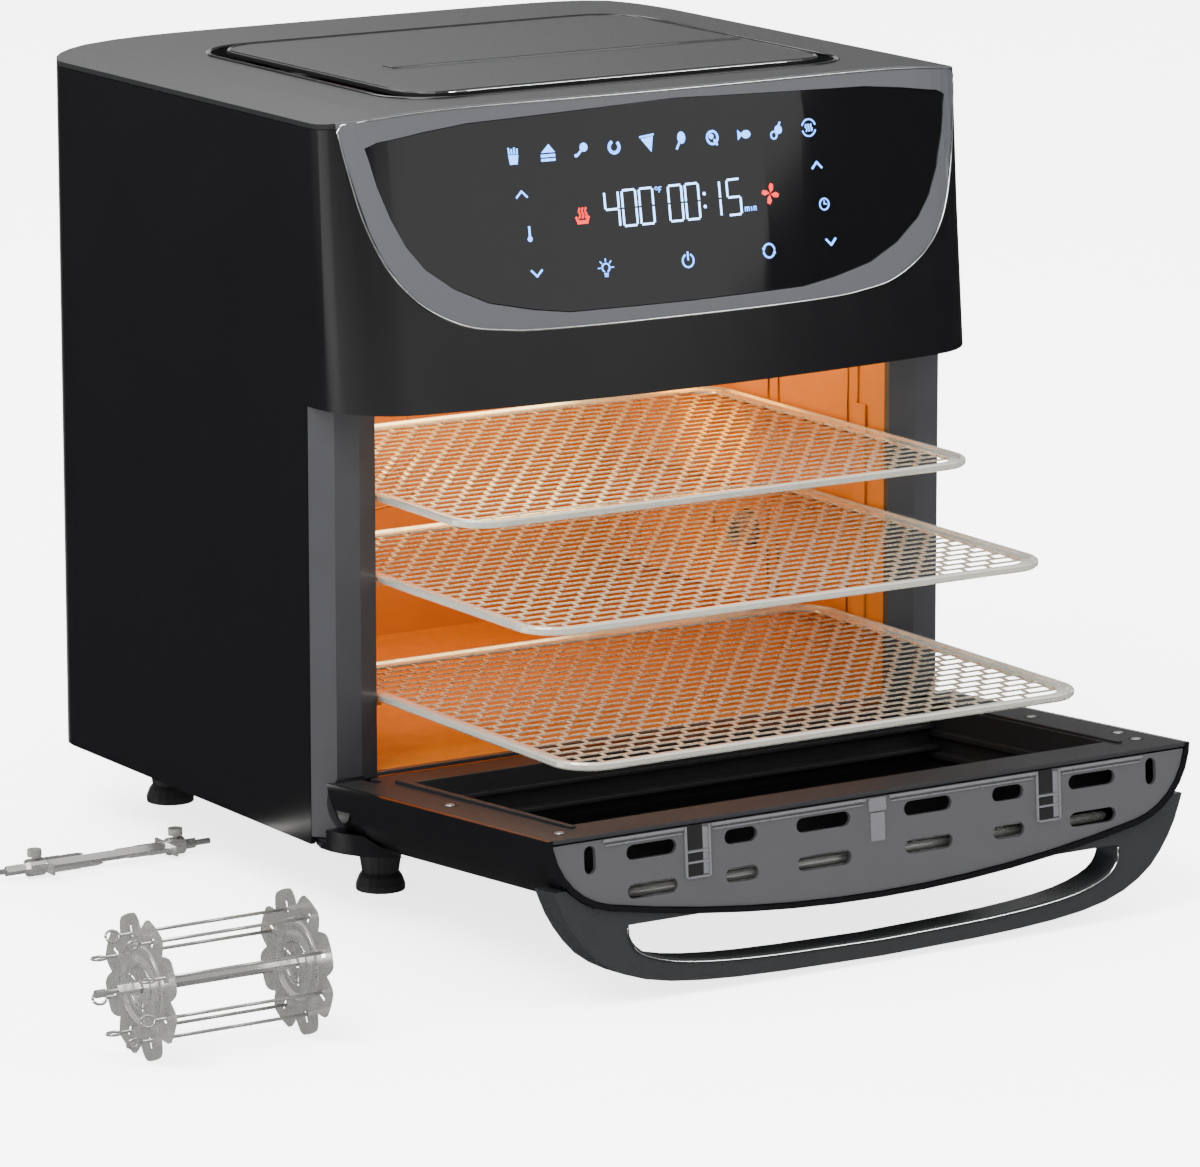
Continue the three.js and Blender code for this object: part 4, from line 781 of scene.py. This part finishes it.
# A white studio for what it lights and shows. What shines sees it dark at the height of
# the oven and pale above, with a slanted softbox before the panel and one at the corner.
world = bpy.data.worlds.new("studio")
bpy.context.scene.world = world
world.use_nodes = True
tree = world.node_tree
toward = add(tree, "ShaderNodeTexCoord", out="Generated")
SLANT, SIDE = (-0.167, -0.004, 0.987), (0.31, 0.95, 0)
# Each box is a product of smooth steps over the turn toward a direction: the direction,
# whether both ways count, the step's start and end, and the strengths there.
BOXES = {
    "above": [((0, 0, 1), False, 0.2, 1, 0.03, 0.8)],
    "panel": [(SLANT, False, 0, 0.003, 0, 1.2), (SLANT, False, 0.05, 0.16, 1, 0)],
    "corner": [(SIDE, True, 0.05, 0.34, 0.8, 0), ((-1, 0, 0), False, 0.2, 0.6, 0, 1)],
    "rear": [((0.2, 0.98, 0), False, 0.93, 1, 0, 0.9)],
}
shine = 0.0
for steps in BOXES.values():
    box = 1.0
    for direction, both_ways, start, end, low, high in steps:
        turn = add(tree, "ShaderNodeVectorMath", {0: toward, 1: direction}, "Value",
                   operation="DOT_PRODUCT")
        if both_ways:
            turn = add(tree, "ShaderNodeMath", {0: turn}, operation="ABSOLUTE")
        step = add(tree, "ShaderNodeMapRange", {"Value": turn, "From Min": start, "From Max": end,
                   "To Min": low, "To Max": high}, interpolation_type="SMOOTHSTEP")
        box = add(tree, "ShaderNodeMath", {0: box, 1: step}, operation="MULTIPLY")
    shine = add(tree, "ShaderNodeMath", {0: shine, 1: box}, operation="ADD")
glossy = add(tree, "ShaderNodeLightPath", out="Is Glossy Ray")
strength = add(tree, "ShaderNodeMix", {0: glossy, 2: 3.2, 3: shine})
add(tree, "Background", {"Color": (1, 1, 1, 1), "Strength": strength})

camera = bpy.data.cameras.new("camera")
camera.sensor_width, camera.lens = 36, 212.12
camera.clip_end = 100
seen = bpy.data.objects.new("camera", camera)
bpy.context.scene.collection.objects.link(seen)
yaw, pitch, roll = (math.radians(a) for a in (32.36, -12.20, 0.05))
ahead = Vector((math.sin(yaw) * math.cos(pitch), math.cos(yaw) * math.cos(pitch), math.sin(pitch)))
right = Vector((math.cos(yaw), -math.sin(yaw), 0))
up = right.cross(ahead)
turn = Matrix((right, up, -ahead)).transposed() @ Matrix.Rotation(-roll, 3, "Z")
seen.matrix_world = Matrix.Translation(row((-1804.6, -2820.2, 864.5))) @ turn.to_4x4()
bpy.context.scene.camera = seen
